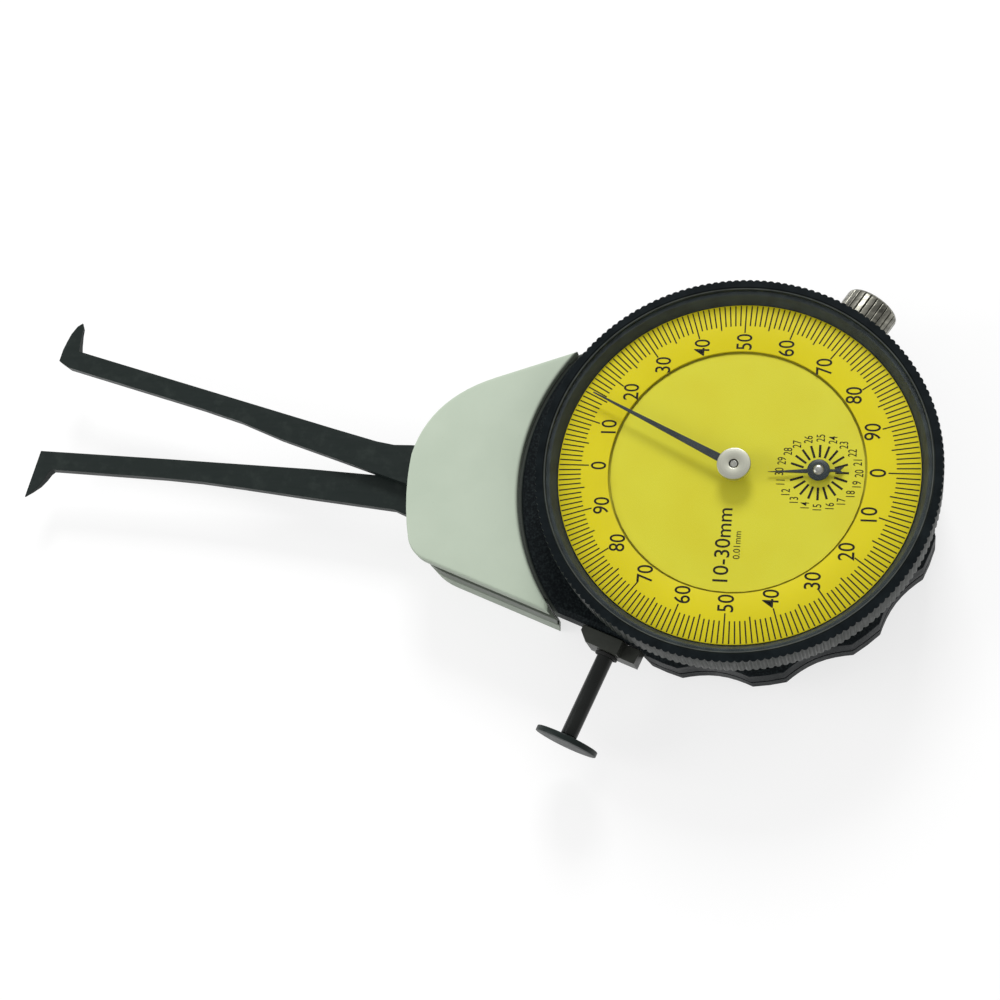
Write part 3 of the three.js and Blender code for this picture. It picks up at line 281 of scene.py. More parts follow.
def dialPaint(name, colour):
    look = dialLook
    material, tree, shader = newMaterial(name)
    cloud = noiseAt(tree, look["cloud"], 2.0)
    fine = noiseAt(tree, look["fine"], 2.0)
    patchy = ramp(tree, cloud, *look["patchRange"], 0.0, look["patchShare"])
    base = mixColour(tree, patchy, rgb(*colour), rgb(*look["patch"]))
    tree.links.new(base, shader.inputs["Base Color"])
    tree.links.new(bumpFrom(tree, fine, look["depth"], 0.4), shader.inputs["Normal"])
    setShine(shader, ramp(tree, fine, *middling, *look["roughness"]), look["shine"])
    return material


inkLook = {"dark": (0.006, 0.005, 0.003), "thin": (0.016, 0.012, 0.004), "fine": 0.15, "roughness": 0.55,
           "shine": 0.2}


def printInk():
    material, tree, shader = newMaterial("printInk")
    dense = ramp(tree, noiseAt(tree, inkLook["fine"], 2.0), 0.4, 0.7, 0.0, 1.0)
    colour = mixColour(tree, dense, rgb(*inkLook["dark"]), rgb(*inkLook["thin"]))
    tree.links.new(colour, shader.inputs["Base Color"])
    setShine(shader, inkLook["roughness"], inkLook["shine"])
    return material


glassLook = {"tint": (0.990, 0.992, 0.985), "least": 0.006, "most": 0.60, "roughness": (0.02, 0.07),
             "smear": 18.0}


def clearCrystal():
    material, tree, shader = newMaterial("clearCrystal")
    tree.nodes.remove(shader)
    smear = noiseAt(tree, glassLook["smear"], 3.0, 0.6)
    clear = addNode(tree, "ShaderNodeBsdfTransparent", {}, {"Color": rgb(*glassLook["tint"])})
    polish = ramp(tree, smear, 0.35, 0.75, *glassLook["roughness"])
    shine = addNode(tree, "ShaderNodeBsdfGlossy", {}, {"Color": rgb(1.0, 1.0, 1.0), "Roughness": polish})
    # the share reflected grows with the fifth power of how far the surface turns from the eye
    facing = addNode(tree, "ShaderNodeLayerWeight", {}, {"Blend": 0.5}).outputs["Facing"]
    steep = addNode(tree, "ShaderNodeMath", {"operation": "POWER"}, {0: facing, 1: 5.0}).outputs[0]
    share = ramp(tree, steep, 0.0, 1.0, glassLook["least"], glassLook["most"])
    layers = {0: share, 1: clear.outputs[0], 2: shine.outputs[0]}
    mix = addNode(tree, "ShaderNodeMixShader", {}, layers)
    tree.links.new(mix.outputs[0], outputOf(tree).inputs[0])
    return material


rubberLook = {"dark": 0.006, "light": 0.018, "fine": 0.2, "roughness": 0.75}


def rubber():
    material, tree, shader = newMaterial("rubber")
    dark, light = [rgb(*[rubberLook[key]] * 3) for key in ("dark", "light")]
    colour = mixColour(tree, noiseAt(tree, rubberLook["fine"], 3.0), dark, light)
    tree.links.new(colour, shader.inputs["Base Color"])
    shader.inputs["Roughness"].default_value = rubberLook["roughness"]
    return material


looks = {
    "wrinkle_black": wrinklePaint(),
    "satin_black": satinBlack("satinBlack", satinLook["colour"], satinLook["roughness"]),
    "pale_grey": coverPaint(),
    "black_steel": blackenedSteel(),
    "bright_steel": metal("brightSteel", (0.50, 0.50, 0.47), (0.22, 0.38)),
    "yellow_dial": dialPaint("dialCentre", dialLook["centre"]),
    "blue_steel": satinBlack("bluedSteel", (0.022, 0.030, 0.034), (0.32, 0.44), 0.05),
    "brass": metal("brass", (0.62, 0.44, 0.16), (0.24, 0.38)),
    "clear": clearCrystal(),
    "black_rubber": rubber(),
}
ink = printInk()
blockFinish = satinBlack("blockFinish", (0.034, 0.037, 0.031), (0.34, 0.48), 0.12)
rodFinish = satinBlack("rodFinish", (0.0065, 0.0080, 0.0070), (0.20, 0.34), 0.05)
slots = {entry["node"]: entry["material_slot"] for entry in frame["record"]["subparts"]}
for name, piece in nodes.items():
    piece.data.materials.clear()
    piece.data.materials.append(blockFinish if name == "guide_block" else looks[slots[name]])
print("surfaces made:", len(looks))


# geometry helpers

def addMesh(name, points, faces, body, material, smooth=True, angle=35.0):
    # points in millimetres; doubles are merged, so seams and poles close
    mesh = bpy.data.meshes.new(name)
    corners = (np.asarray(points).reshape(-1, 3) * mm).tolist()
    mesh.from_pydata(corners, [], [[int(i) for i in face] for face in faces])
    if smooth:
        shape = bmesh.new()
        shape.from_mesh(mesh)
        bmesh.ops.remove_doubles(shape, verts=shape.verts, dist=mergeWithin * mm)
        bmesh.ops.recalc_face_normals(shape, faces=shape.faces)
        shape.to_mesh(mesh)
        shape.free()
        mesh.polygons.foreach_set("use_smooth", [True] * len(mesh.polygons))
        mesh.set_sharp_from_angle(angle=math.radians(angle))
    mesh.materials.append(material)
    mesh.update()
    made = bpy.data.objects.new(name, mesh)
    bpy.context.scene.collection.objects.link(made)
    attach(made, body)
    return made


def gridFaces(rows, columns, closeRows=True):
    # quads between neighbouring points of a grid whose columns close on themselves
    lastRow = rows if closeRows else rows - 1
    i, j = np.meshgrid(np.arange(lastRow), np.arange(columns), indexing="ij")
    k, m = (i + 1) % rows, (j + 1) % columns
    return np.stack([i * columns + j, i * columns + m, k * columns + m, k * columns + j], -1).reshape(-1, 4)


def turnedPoints(profile, steps, extra=None):
    # each profile point (radius, height) swept round Z; extra(angles) times its third value widens it
    profile = np.array(profile, float)
    angles = np.linspace(0, 2 * np.pi, steps, endpoint=False)
    radius = np.repeat(profile[:, :1], steps, 1)
    if extra is not None:
        radius = radius + profile[:, 2:3] * extra(angles)
    height = np.repeat(profile[:, 1:2], steps, 1)
    return np.stack([radius * np.cos(angles), radius * np.sin(angles), height], -1)


def rounded(profile, size, steps=4):
    # every corner of a closed profile replaced by a quarter-like arc that starts size before it
    points = np.array(profile, float)
    result = []
    for i, corner in enumerate(points):
        before, after = points[i - 1] - corner, points[(i + 1) % len(points)] - corner
        reach = min(size, 0.45 * np.hypot(*before), 0.45 * np.hypot(*after))
        start = corner + before / max(np.hypot(*before), 1e-9) * reach
        end = corner + after / max(np.hypot(*after), 1e-9) * reach
        if corner[0] == 0:
            result.append(corner)
            continue
        for t in np.linspace(0, 1, steps):
            result.append((1 - t) ** 2 * start + 2 * t * (1 - t) * corner + t ** 2 * end)
    return np.array(result)


def layAlong(points, direction, foot):
    # a shape turned about Z laid so that its axis runs along a level direction from foot
    direction = np.array(direction) / np.linalg.norm(direction)
    side = np.array([-direction[1], direction[0], 0.0])
    up = np.array([0.0, 0.0, 1.0])
    flat = points.reshape(-1, 3)
    return np.array(foot) + flat[:, 2:3] * direction + flat[:, :1] * side + flat[:, 1:2] * up


# bezel: turned rim with a sloping inner wall, a fine groove and a straight knurl

bezelLook = {"teeth": 176, "toothDepth": 0.24, "land": 1.6, "wall": 1.9, "columns": 6, "groove": 0.14,
             "grooveDepth": 0.2, "ledge": 0.9, "neck": 0.75, "fit": 0.15, "round": 0.15, "lipWidth": 0.20,
             # knurl, rim, slope and lip colours: painted light and shade, lit and shaded versions of one
             # black paint with a painted highlight on the lip
             "knurl": (0.023, 0.029, 0.024), "rim": (0.0075, 0.0105, 0.0120),
             "slope": (0.040, 0.050, 0.054), "paintedHighlight": (0.070, 0.078, 0.074), "cloud": 2.0, "fine": 0.12,
             "mottle": (0.75, 1.35), "roughness": (0.34, 0.46), "depth": 0.006, "edge": 0.05,
             "shine": (0.12, 0.04)}


def bezelPaint(seat, top):
    # one black paint in lit and shaded versions, light and shade painted per region: lighter grey on the
    # knurl, painted dark on the flat rim, slate on the sloping inner wall as a painted reflection, and a
    # painted highlight on its lip
    look = bezelLook
    material, tree, shader = newMaterial("bezelPaint")
    radius, height = radiusAt(tree), heightAt(tree)
    lipEdge = seat + look["lipWidth"]
    onWall = ramp(tree, radius, (seat - 0.06) * mm, seat * mm, 1.0, 0.0)
    onTop = ramp(tree, height, (top - 0.14) * mm, (top - 0.07) * mm, 0.0, 1.0)
    highlightShare = ramp(tree, radius, (lipEdge - 0.04) * mm, lipEdge * mm, 1.0, 0.0)
    cloud = noiseAt(tree, look["cloud"], 4.0, 0.6)
    mottle = ramp(tree, cloud, 0.3, 0.75, *look["mottle"])
    # painted light and shade: each region of the one black paint gets its own lit or shaded colour
    body = mixColour(tree, onWall, rgb(*look["knurl"]), rgb(*look["slope"]))
    rim = mixColour(tree, highlightShare, rgb(*look["rim"]), rgb(*look["paintedHighlight"]))
    colour = mixColour(tree, onTop, body, rim)
    grey = addNode(tree, "ShaderNodeCombineXYZ", {}, {0: mottle, 1: mottle, 2: mottle}).outputs[0]
    tree.links.new(mixColour(tree, 1.0, colour, grey, "MULTIPLY"), shader.inputs["Base Color"])
    tree.links.new(ramp(tree, cloud, *middling, *look["roughness"]), shader.inputs["Roughness"])
    tree.links.new(ramp(tree, onTop, 0.0, 1.0, *look["shine"]), shader.inputs["Specular IOR Level"])
    fine = noiseAt(tree, look["fine"], 2.0)
    tree.links.new(bumpFrom(tree, fine, look["depth"], 0.5, look["edge"]), shader.inputs["Normal"])
    return material


def toothWave(angles):
    # triangle wave cut flat at 1 on each tooth's land, 0 in each gap
    turns = angles * bezelLook["teeth"] / (2 * np.pi)
    return np.clip(bezelLook["land"] * (1 - np.abs(2 * (turns % 1) - 1)), 0, 1)


def makeBezel():
    low, high = boxOf("bezel")
    ring = boxOf("scale_ring")
    crystalLow, crystalHigh = boxOf("crystal")
    outer, bottom, top = high[0], low[2], high[2]
    depth, fit, turn = bezelLook["toothDepth"], bezelLook["fit"], bezelLook["round"]
    root, bore = outer - depth, outer - bezelLook["wall"]
    seat, seatHeight = crystalHigh[0] + fit, crystalLow[2] - fit
    ringEdge, ringTop = ring[1][0] + fit, ring[1][2]
    ledge = ringEdge - bezelLook["ledge"]
    neck = ring[0][2] - bezelLook["neck"]
    grooveWidth, grooveFloor = bezelLook["groove"], top - bezelLook["grooveDepth"]
    groove = seat + bezelLook["lipWidth"]
    # radius, height and share of the tooth's depth, up the knurl, over the rim and down the inside
    knurl = [(root, bottom + 0.25, 0), (root, bottom + 0.34, 0.6), (root, bottom + 0.50, 1),
             (root, top - 0.12, 1), (root, top - 0.04, 0.93), (root, top, 0.75)]
    rim = [(root - 0.30, top), (groove + grooveWidth, top), (groove + grooveWidth - 0.03, grooveFloor),
           (groove, grooveFloor), (groove - 0.03, top - 0.02), (seat + 0.07, top - 0.04),
           (seat, top - 0.12)]
    inside = [(seat, seatHeight), (seat - 0.45, seatHeight), (seat - 0.55, seatHeight - 0.06),
              (ringEdge, ringTop), (ringEdge, ringTop - 0.5), (ledge, ringTop - 0.5), (ledge, neck),
              (bore, neck), (bore, bottom + turn), (bore + turn, bottom), (root - 0.25, bottom)]
    profile = knurl + [(radius, height, 0) for radius, height in rim + inside]
    steps = bezelLook["teeth"] * bezelLook["columns"]
    points = turnedPoints(profile, steps, lambda angles: depth * toothWave(angles))
    faces = gridFaces(len(profile), steps)
    made = addMesh("bezelRim", points, faces, "bezel_body", bezelPaint(seat, top), True, 28)
    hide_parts("bezel")


# crystal: dome whose height falls with the square of the radius

crystalLook = {"edge": 0.5, "thickness": 0.95, "rim": 1.4, "rows": 24, "steps": 160}


def makeCrystal():
    low, high = boxOf("crystal")
    radius, bottom, top = high[0], low[2], high[2]
    shares = np.linspace(1, 0, crystalLook["rows"])
    rise = top - bottom - crystalLook["edge"]
    upper = np.stack([radius * shares, top - rise * shares ** 2], -1)
    innerRadius = radius - crystalLook["rim"]
    innerTop = top - crystalLook["thickness"]
    lower = np.stack([innerRadius * shares, innerTop - (innerTop - bottom) * shares ** 2], -1)
    profile = np.concatenate([[[radius, bottom]], upper, lower[::-1]])
    points = turnedPoints(profile, crystalLook["steps"])
    faces = gridFaces(len(profile), crystalLook["steps"])
    made = addMesh("crystalDome", points, faces, "bezel_body", looks["clear"], True, 40)
    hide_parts("crystal")


# dial: graduated ring and raised disc

dialSteps = 200
ringPaint = dialPaint("dialRing", dialLook["ring"])


def makeScaleRing():
    low, high = boxOf("scale_ring")
    outer, inner = high[0], high[0] - ringTicks["sheet"]
    profile = rounded([(inner, low[2]), (outer, low[2]), (outer, high[2]), (inner, high[2])],
                      ringTicks["round"], 3)
    points = turnedPoints(profile, dialSteps)
    faces = gridFaces(len(profile), dialSteps)
    made = addMesh("graduatedRing", points, faces, "bezel_body", ringPaint)
    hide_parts("scale_ring")


# graduations: bars between two radii, 200 round the ring and 20 round the small dial

ringTicks = {"sheet": 7.15, "round": 0.06, "lift": 0.012, "outer": 24.95, "long": 20.7, "middle": 21.26,
             "short": 21.78, "width": 0.19, "count": 200, "figures": 19.3, "letters": (2.25, 0.84)}
smallTicks = {"inner": 2.2, "outer": 4.05, "width": 0.32, "count": 20, "figures": (5.40, 5.05),
              "letters": (1.2, 0.70)}
# words, place in millimetres, letter height and width share
discWords = [("10-30mm", -1.05, -10.9, 2.15, 0.98), ("0.01mm", 0.93, -10.9, 0.95, 0.95)]
letterLook = {"capShare": 0.72, "weight": 0.006, "steps": 5}
dialFace = boxOf("scale_ring")[1][2]
discFace = boxOf("dial_plate")[1][2]
smallCentre = (boxOf("small_hand_hub")[0] + boxOf("small_hand_hub")[1])[:2] / 2


def tickQuads(angles, inner, outer, width, height, centre=(0.0, 0.0)):
    # four corners of a bar from inner to outer radius, width across
    along = np.stack([np.cos(angles), np.sin(angles)], -1)
    across = np.stack([-np.sin(angles), np.cos(angles)], -1) * width / 2
    inner = np.broadcast_to(inner, angles.shape)[:, None]
    outer = np.broadcast_to(outer, angles.shape)[:, None]
    near, far = along * inner, along * outer
    corners = np.stack([near - across, far - across, far + across, near + across], 1) + np.array(centre)
    flat = np.concatenate([corners, np.full(corners.shape[:2] + (1,), height)], -1).reshape(-1, 3)
    return flat, np.arange(len(flat)).reshape(-1, 4)


def drawRingTicks():
    index = np.arange(ringTicks["count"])
    angles = np.pi - index * 2 * np.pi / ringTicks["count"]
    fifth = np.where(index % 5 == 0, ringTicks["middle"], ringTicks["short"])
    inner = np.where(index % 10 == 0, ringTicks["long"], fifth)
    height = dialFace + ringTicks["lift"]
    points, faces = tickQuads(angles, inner, ringTicks["outer"], ringTicks["width"], height)
    addMesh("ringGraduations", points, faces, "bezel_body", ink, False)


def drawSmallTicks():
    count = smallTicks["count"]
    angles = np.pi + np.arange(count) * 2 * np.pi / count
    height = discFace + ringTicks["lift"]
    inner, outer, width = smallTicks["inner"], smallTicks["outer"], smallTicks["width"]
    points, faces = tickQuads(angles, inner, outer, width, height, smallCentre)
    addMesh("smallGraduations", points, faces, "case", ink, False)


def wordOutline(words, size):
    # flat mesh of one word, centred, as points and faces
    curve = bpy.data.curves.new("word", "FONT")
    curve.body = words
    curve.size = size / letterLook["capShare"]
    curve.resolution_u = letterLook["steps"]
    curve.offset = letterLook["weight"] * size
    holder = bpy.data.objects.new("word", curve)
    bpy.context.scene.collection.objects.link(holder)
    bpy.context.view_layer.update()
    mesh = bpy.data.meshes.new_from_object(holder)
    flat = np.zeros(len(mesh.vertices) * 3)
    mesh.vertices.foreach_get("co", flat)
    flat = flat.reshape(-1, 3)
    faces = [list(polygon.vertices) for polygon in mesh.polygons]
    bpy.data.objects.remove(holder)
    bpy.data.curves.remove(curve)
    bpy.data.meshes.remove(mesh)
    return flat - (flat.max(0) + flat.min(0)) / 2, faces


def drawWords(name, entries, height, body):
    # entries: text, centre x, centre y, letter height, width share; letters stand upright towards -X
    points, faces, start = [], [], 0
    for words, x, y, size, share in entries:
        flat, own = wordOutline(words, size)
        points.append(np.stack([x - flat[:, 1], y + flat[:, 0] * share, np.full(len(flat), height)], -1))
        faces += [[start + i for i in face] for face in own]
        start += len(flat)
    addMesh(name, np.concatenate(points), faces, body, ink, False)


def drawFigures():
    ring, small = [], list(discWords)
    reach, (reachX, reachY) = ringTicks["figures"], smallTicks["figures"]
    for i in range(20):
        angle = math.pi - i * math.pi / 10
        ring.append((str(10 * (i % 10)), reach * math.cos(angle), reach * math.sin(angle),
                     *ringTicks["letters"]))
        angle = math.pi + i * math.pi / 10
        place = (smallCentre[0] + reachX * math.cos(angle), smallCentre[1] + reachY * math.sin(angle))
        small.append((str(30 if i == 0 else 10 + i), *place, *smallTicks["letters"]))
    drawWords("ringFigures", ring, dialFace + ringTicks["lift"], "bezel_body")
    drawWords("discFigures", small, discFace + ringTicks["lift"], "case")


makeBezel()
makeCrystal()
makeScaleRing()
drawRingTicks()
drawSmallTicks()
drawFigures()
print("bezel, crystal and dial print made")


# hubs of the two hands

hubLook = {"steps": 96, "capSteps": 48, "collar": 1.2, "bore": 0.65, "disc": 0.65, "round": 0.10,
           "lathe": 0.16, "steel": (0.60, 0.60, 0.52), "roughness": (0.30, 0.44)}
# small hub: heights as shares of its rise, radii as shares of its radius
collarShares = {"rim": 0.42, "slope": 0.55, "slopeRadius": 0.66, "cap": 0.50, "capRadius": 0.50}


def makePointerHub():
    low, high = boxOf("pointer_hub")
    turned = metal("turnedHub", hubLook["steel"], hubLook["roughness"],
                   lambda tree: ringsAt(tree, hubLook["lathe"]))
    radius, disc = high[0], high[2] - hubLook["disc"]
    profile = rounded([
        (hubLook["bore"], low[2]), (hubLook["collar"], low[2]), (hubLook["collar"], disc), (radius, disc),
        (radius, high[2]), (hubLook["bore"], high[2]),
    ], hubLook["round"])
    points = turnedPoints(profile, hubLook["steps"])
    made = addMesh("turnedPointerHub", points, gridFaces(len(profile), hubLook["steps"]), "pointer_body",
                   turned, True, 40)
    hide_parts("pointer_hub")


def makeSmallHub():
    low, high = boxOf("small_hand_hub")
    middle = (low + high) / 2
    radius, rise = (high[0] - low[0]) / 2, high[2] - low[2]
    rimTop, slopeTop, base = (low[2] + collarShares[key] * rise for key in ("rim", "slope", "cap"))
    rim = rounded([(0, low[2]), (radius, low[2]), (radius, rimTop),
                   (collarShares["slopeRadius"] * radius, slopeTop), (0, slopeTop)], 0.12)
    points = turnedPoints(rim, hubLook["steps"]) + [middle[0], middle[1], 0]
    collar = addMesh("smallHandCollar", points, gridFaces(len(rim), hubLook["steps"]), "counter_body",
                     looks["blue_steel"], True, 40)
    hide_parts("small_hand_hub")
    # cap: its height falls with the fourth power of the radius
    capRadius, steps = collarShares["capRadius"] * radius, hubLook["capSteps"]
    cap = [(capRadius * s, base + (high[2] - base) * (1 - s ** 4)) for s in np.linspace(1, 0, 8)]
    profile = np.array([(0, base), *cap])
    points = turnedPoints(profile, steps) + [middle[0], middle[1], 0]
    addMesh("smallHandCap", points, gridFaces(len(profile), steps), "counter_body",
            looks["bright_steel"], True, 60)


makePointerHub()
makeSmallHub()
print("hubs made")


# plunger: rod and thin thumb disc along the rod's own line

plungerLook = {"rodRadius": 1.2, "rodRound": 0.15, "point": 0.55, "discRadius": 4.6, "disc": 1.0,
               "dish": 0.12, "flat": 0.8, "steps": 72}


def makePlunger():
    look, steps = plungerLook, plungerLook["steps"]
    outwards = -np.array(jointAxes["plunger"]["axis"])
    rodLow, rodHigh = boxOf("plunger_rod")
    headLow, headHigh = boxOf("plunger_head")
    rodMiddle, headMiddle = (rodLow + rodHigh) / 2, (headLow + headHigh) / 2
    # the box of a cylinder along a level line is its length and twice its radius on each axis
    run = (rodHigh[0] - rodLow[0] - 2 * look["rodRadius"] * abs(outwards[1])) / abs(outwards[0])
    half, radius = run / 2, look["rodRadius"]
    point = look["point"] * radius
    rod = rounded([(0, -half), (point, -half), (radius, -half + point), (radius, half), (0, half)],
                  look["rodRound"])
    points = layAlong(turnedPoints(rod, steps), outwards, rodMiddle)
    made = addMesh("plungerRod", points, gridFaces(len(rod), steps), "plunger_body",
                   rodFinish, True, 40)
    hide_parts("plunger_rod")
    half, radius, dish = look["disc"] / 2, look["discRadius"], look["dish"]
    flat = look["flat"] * radius
    disc = rounded([(0, -half), (flat, -half), (radius, -half + dish), (radius, half - dish), (flat, half),
                    (0, half)], dish)
    points = layAlong(turnedPoints(disc, steps), outwards, headMiddle)
    made = addMesh("thumbDisc", points, gridFaces(len(disc), steps), "plunger_body",
                   looks["black_steel"], True, 40)
    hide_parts("plunger_head")


makePlunger()


# clamp screw: knob with flat-topped ribs and dark gaps along its axis

clampLook = {"ribs": 26, "gap": 0.32, "start": 28.6, "end": 33.6, "radius": 4.05, "columns": 12,
             "shaft": 1.3, "shaftLength": 2.8, "flank": 5.0, "steel": (0.31, 0.305, 0.26), "worn": 0.30,
             "roughness": (0.24, 0.40), "marks": 0.8, "run": 0.05}


def ribWave(angles):
    # 0 in the narrow gap, 1 on the wide rib
    turns = angles * clampLook["ribs"] / (2 * np.pi)
    return np.clip(np.abs(2 * (turns % 1) - 1) * clampLook["flank"], 0, 1)


def makeClampScrew():
    joint = jointAxes["clamp_turn"]
    direction = np.array(joint["axis"])
    height = joint["pos_m"][2] / mm
    start, end, radius, gap = (clampLook[key] for key in ("start", "end", "radius", "gap"))
    inner, foot = radius - gap, start - clampLook["shaftLength"]
    # radius, height and share of the ribs, along the shaft and the knob's side to its domed end
    profile = [
        (0, foot, 0), (clampLook["shaft"], foot, 0), (clampLook["shaft"], start, 0),
        (inner - 0.3, start, 0), (inner, start + 0.15, 0.6), (inner, start + 0.30, 1),
        (inner, end - 0.75, 1), (inner - 0.06, end - 0.45, 0.9), (inner - 0.20, end - 0.20, 0.6),
        (inner - 0.42, end - 0.04, 0.2), (inner - 0.60, end, 0), (0, end, 0),
    ]
    steps = clampLook["ribs"] * clampLook["columns"]
    points = turnedPoints(profile, steps, lambda angles: gap * ribWave(angles))
    points = layAlong(points, direction, (0, 0, height))
    turn = -math.atan2(direction[1], direction[0])

    def alongKnob(tree):
        along = placeOn(tree, turn=turn, stretch=(clampLook["run"], 1.0, 1.0))
        return noiseAt(tree, clampLook["marks"], 3.0, 0.6, along)

    steel = metal("knobSteel", clampLook["steel"], clampLook["roughness"], alongKnob, clampLook["worn"])
    faces = gridFaces(len(profile), steps)
    made = addMesh("clampKnob", points, faces, "clamp_body", steel, True, 30)
    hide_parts("clamp_screw")


makeClampScrew()
print("plunger and clamp screw made")


# covers: two open shells with one plan, tapered sides, bowed jaw end and concave end at the bezel

# side and arc are distances from the pointer axis, lower and upper what each side adds to the first
coverPlan = {"side": 27.2, "lower": 0.6, "upper": 0.1, "slope": 19.8, "left": 49.1, "bow": 40.0,
             "arc": 32.2, "shoulderRise": 3.0, "shoulderRun": 10.5, "clipShare": 0.9}
frontLook = {"heel": 2.4, "wall": 1.0, "skin": 0.9, "edge": 0.42, "lowest": 10.2, "corner": 1.0,
             # side and the heights below the top: painted shade that darkens the cover's side faces below
             # its rounded top edge
             "side": 0.78, "paintedShadeFrom": (0.5, 0.3)}
rearLook = {"heel": 4.6, "wall": 0.95, "floor": 1.15, "edge": 0.40, "edgeMiddle": 0.12, "corner": 1.5,
            # tone: the rear cover's paint is a darker copy of the front cover's, a painted shade
            "slot": (-5.7, 1.55), "slotFloor": 5.7, "recess": 1.65, "recessDepth": 1.0, "tone": 0.74,
            # paintedShadeBlend and paintedShadeTone: painted shade, darker going up from the seam under the
            # front cover's overhang
            "seam": 4.6, "seamDepth": 0.10, "paintedShadeBlend": (-0.6, 0.4), "paintedShadeTone": 0.36}
# how a rounded edge goes in and down, as shares of its size
edgeShares = [(1, 0), (0.55, 0.07), (0.2, 0.3), (0.03, 0.65), (0, 1)]
noSlot = (-1.0, 1.0)


def bentLine(start, corner, end, steps):
    # quadratic curve from start to end that leans towards corner
    t = np.linspace(0, 1, steps)[:, None]
    return (1 - t) ** 2 * start + 2 * t * (1 - t) * corner + t ** 2 * end


def sideEnds(side, bow, bite):
    # where the lower side meets the bowed end and the concave end, and its direction
    angle = -math.radians(90 + coverPlan["slope"])
    out = np.array([math.cos(angle), math.sin(angle)])
    along = np.array([-out[1], out[0]])
    centre = np.array([coverPlan["bow"] - coverPlan["left"], 0.0])
    height = side - out @ centre
    corner = centre + out * height - along * math.sqrt(bow ** 2 - height ** 2)
    foot = out * side - along * math.sqrt(bite ** 2 - side ** 2)
    return corner, foot, along


def coverLoop(inset, heel, slot, cut):
    # plan of a cover moved inwards by inset, anticlockwise from the big corner of the jaw end
    # cut is what the lower side's sharp end at the bezel loses
    bow, bite = coverPlan["bow"] - inset, coverPlan["arc"] + inset
    lower, upper = (coverPlan["side"] + coverPlan[key] - inset for key in ("lower", "upper"))
    corner, foot, along = sideEnds(lower, bow, bite)
    peak, upperFoot, upperAlong = sideEnds(upper, bow, bite)
    flip = np.array([1.0, -1.0])
    peak, upperFoot, upperAlong = peak * flip, upperFoot * flip, upperAlong * flip
    levels = np.concatenate([
        np.linspace(max(coverPlan["shoulderRise"], slot[1] + 0.1), slot[1] + 0.02, 3),
        np.linspace(slot[1], slot[0], 9), np.linspace(slot[0] - 0.02, corner[1] + heel, 5),
    ])
    bowed = np.stack([coverPlan["bow"] - coverPlan["left"] - np.sqrt(bow ** 2 - levels ** 2), levels], -1)
    shoulder = bentLine(peak + upperAlong * coverPlan["shoulderRun"], peak, bowed[0], 14)
    rounding = bentLine(bowed[-1], corner, corner + along * heel, 10)
    clipped = sideEnds(lower - coverPlan["clipShare"] * cut, bow, bite)[1]
    start = 2 * math.pi + math.atan2(clipped[1], clipped[0])
    angles = np.linspace(start, math.atan2(upperFoot[1], upperFoot[0]), 40)
    concave = bite * np.stack([np.cos(angles), np.sin(angles)], -1)
    return np.concatenate([shoulder, bowed[1:-1], rounding, [foot - along * cut], concave])


def coverRows(rows, look, slotHeight=None):
    # a loop for each row's inset, height and cut; in the jaws' slot no height is above slotHeight
    points = []
    for inset, height, cut in rows:
        loop = coverLoop(inset, look["heel"], look.get("slot", noSlot), cut)
        heights = np.full(len(loop), height)
        if slotHeight:
            first, last = look["slot"]
            atEnd = loop[:, 0] < -0.8 * coverPlan["left"]
            inSlot = atEnd & (loop[:, 1] > first - 0.01) & (loop[:, 1] < last + 0.01)
            heights[inSlot] = min(height, slotHeight)
        points.append(np.column_stack([loop, heights]))
    return points


def pocketFace(outline, holes, height, depth):
    # flat face with blind pockets, each depth deep
    loops = [outline, *holes]
    corners = [[Vector((x, y, 0.0)) for x, y in loop] for loop in loops]
    faces = [list(triangle) for triangle in tessellate_polygon(corners)]
    points = [np.column_stack([loop, np.full(len(loop), height)]) for loop in loops]
    start, total = len(outline), sum(len(loop) for loop in loops)
    for hole in holes:
        count = len(hole)
        points.append(np.column_stack([hole, np.full(count, height + depth)]))
        for i in range(count):
            j = (i + 1) % count
            faces.append([start + i, start + j, total + j, total + i])
        faces.append([total + i for i in range(count)])
        start, total = start + count, total + count
    return np.concatenate(points), faces


def circle(radius, middle, steps):
    angles = np.linspace(0, 2 * np.pi, steps, endpoint=False)
    return np.array(middle) + radius * np.stack([np.cos(angles), np.sin(angles)], -1)


def joined(parts):
    # several lists of points and faces as one
    points, faces, start = [], [], 0
    for own, ownFaces in parts:
        points.append(own)
        faces += [[start + int(i) for i in face] for face in ownFaces]
        start += len(own)
    return np.concatenate(points), faces


def makeFrontCover():
    top = boxOf("front_cover")[1][2]
    edge, wall, bottom = frontLook["edge"], frontLook["wall"], frontLook["lowest"]
    rim = [(inwards * edge, top - down * edge) for inwards, down in edgeShares]
    rim += [(0, bottom), (wall, bottom), (wall, top - frontLook["skin"])]
    rows = [(inset, height, frontLook["corner"]) for inset, height in rim]
    loops = coverRows(rows, frontLook)
    sides = (np.concatenate(loops), gridFaces(len(rows), len(loops[0]), False))
    lid = pocketFace(loops[0][:, :2], [], top, 0)
    inner = pocketFace(loops[-1][:, :2], [], top - frontLook["skin"], 0)
    points, faces = joined([sides, lid, inner])
    # painted shade: the side faces are painted darker than the top
    seam = [top - below for below in frontLook["paintedShadeFrom"]]
    paint = coverPaint("frontCoverPaint", 1.0, seam, frontLook["side"], True)
    made = addMesh("frontShell", points, faces, "case", paint, True, 32)
    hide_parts("front_cover")


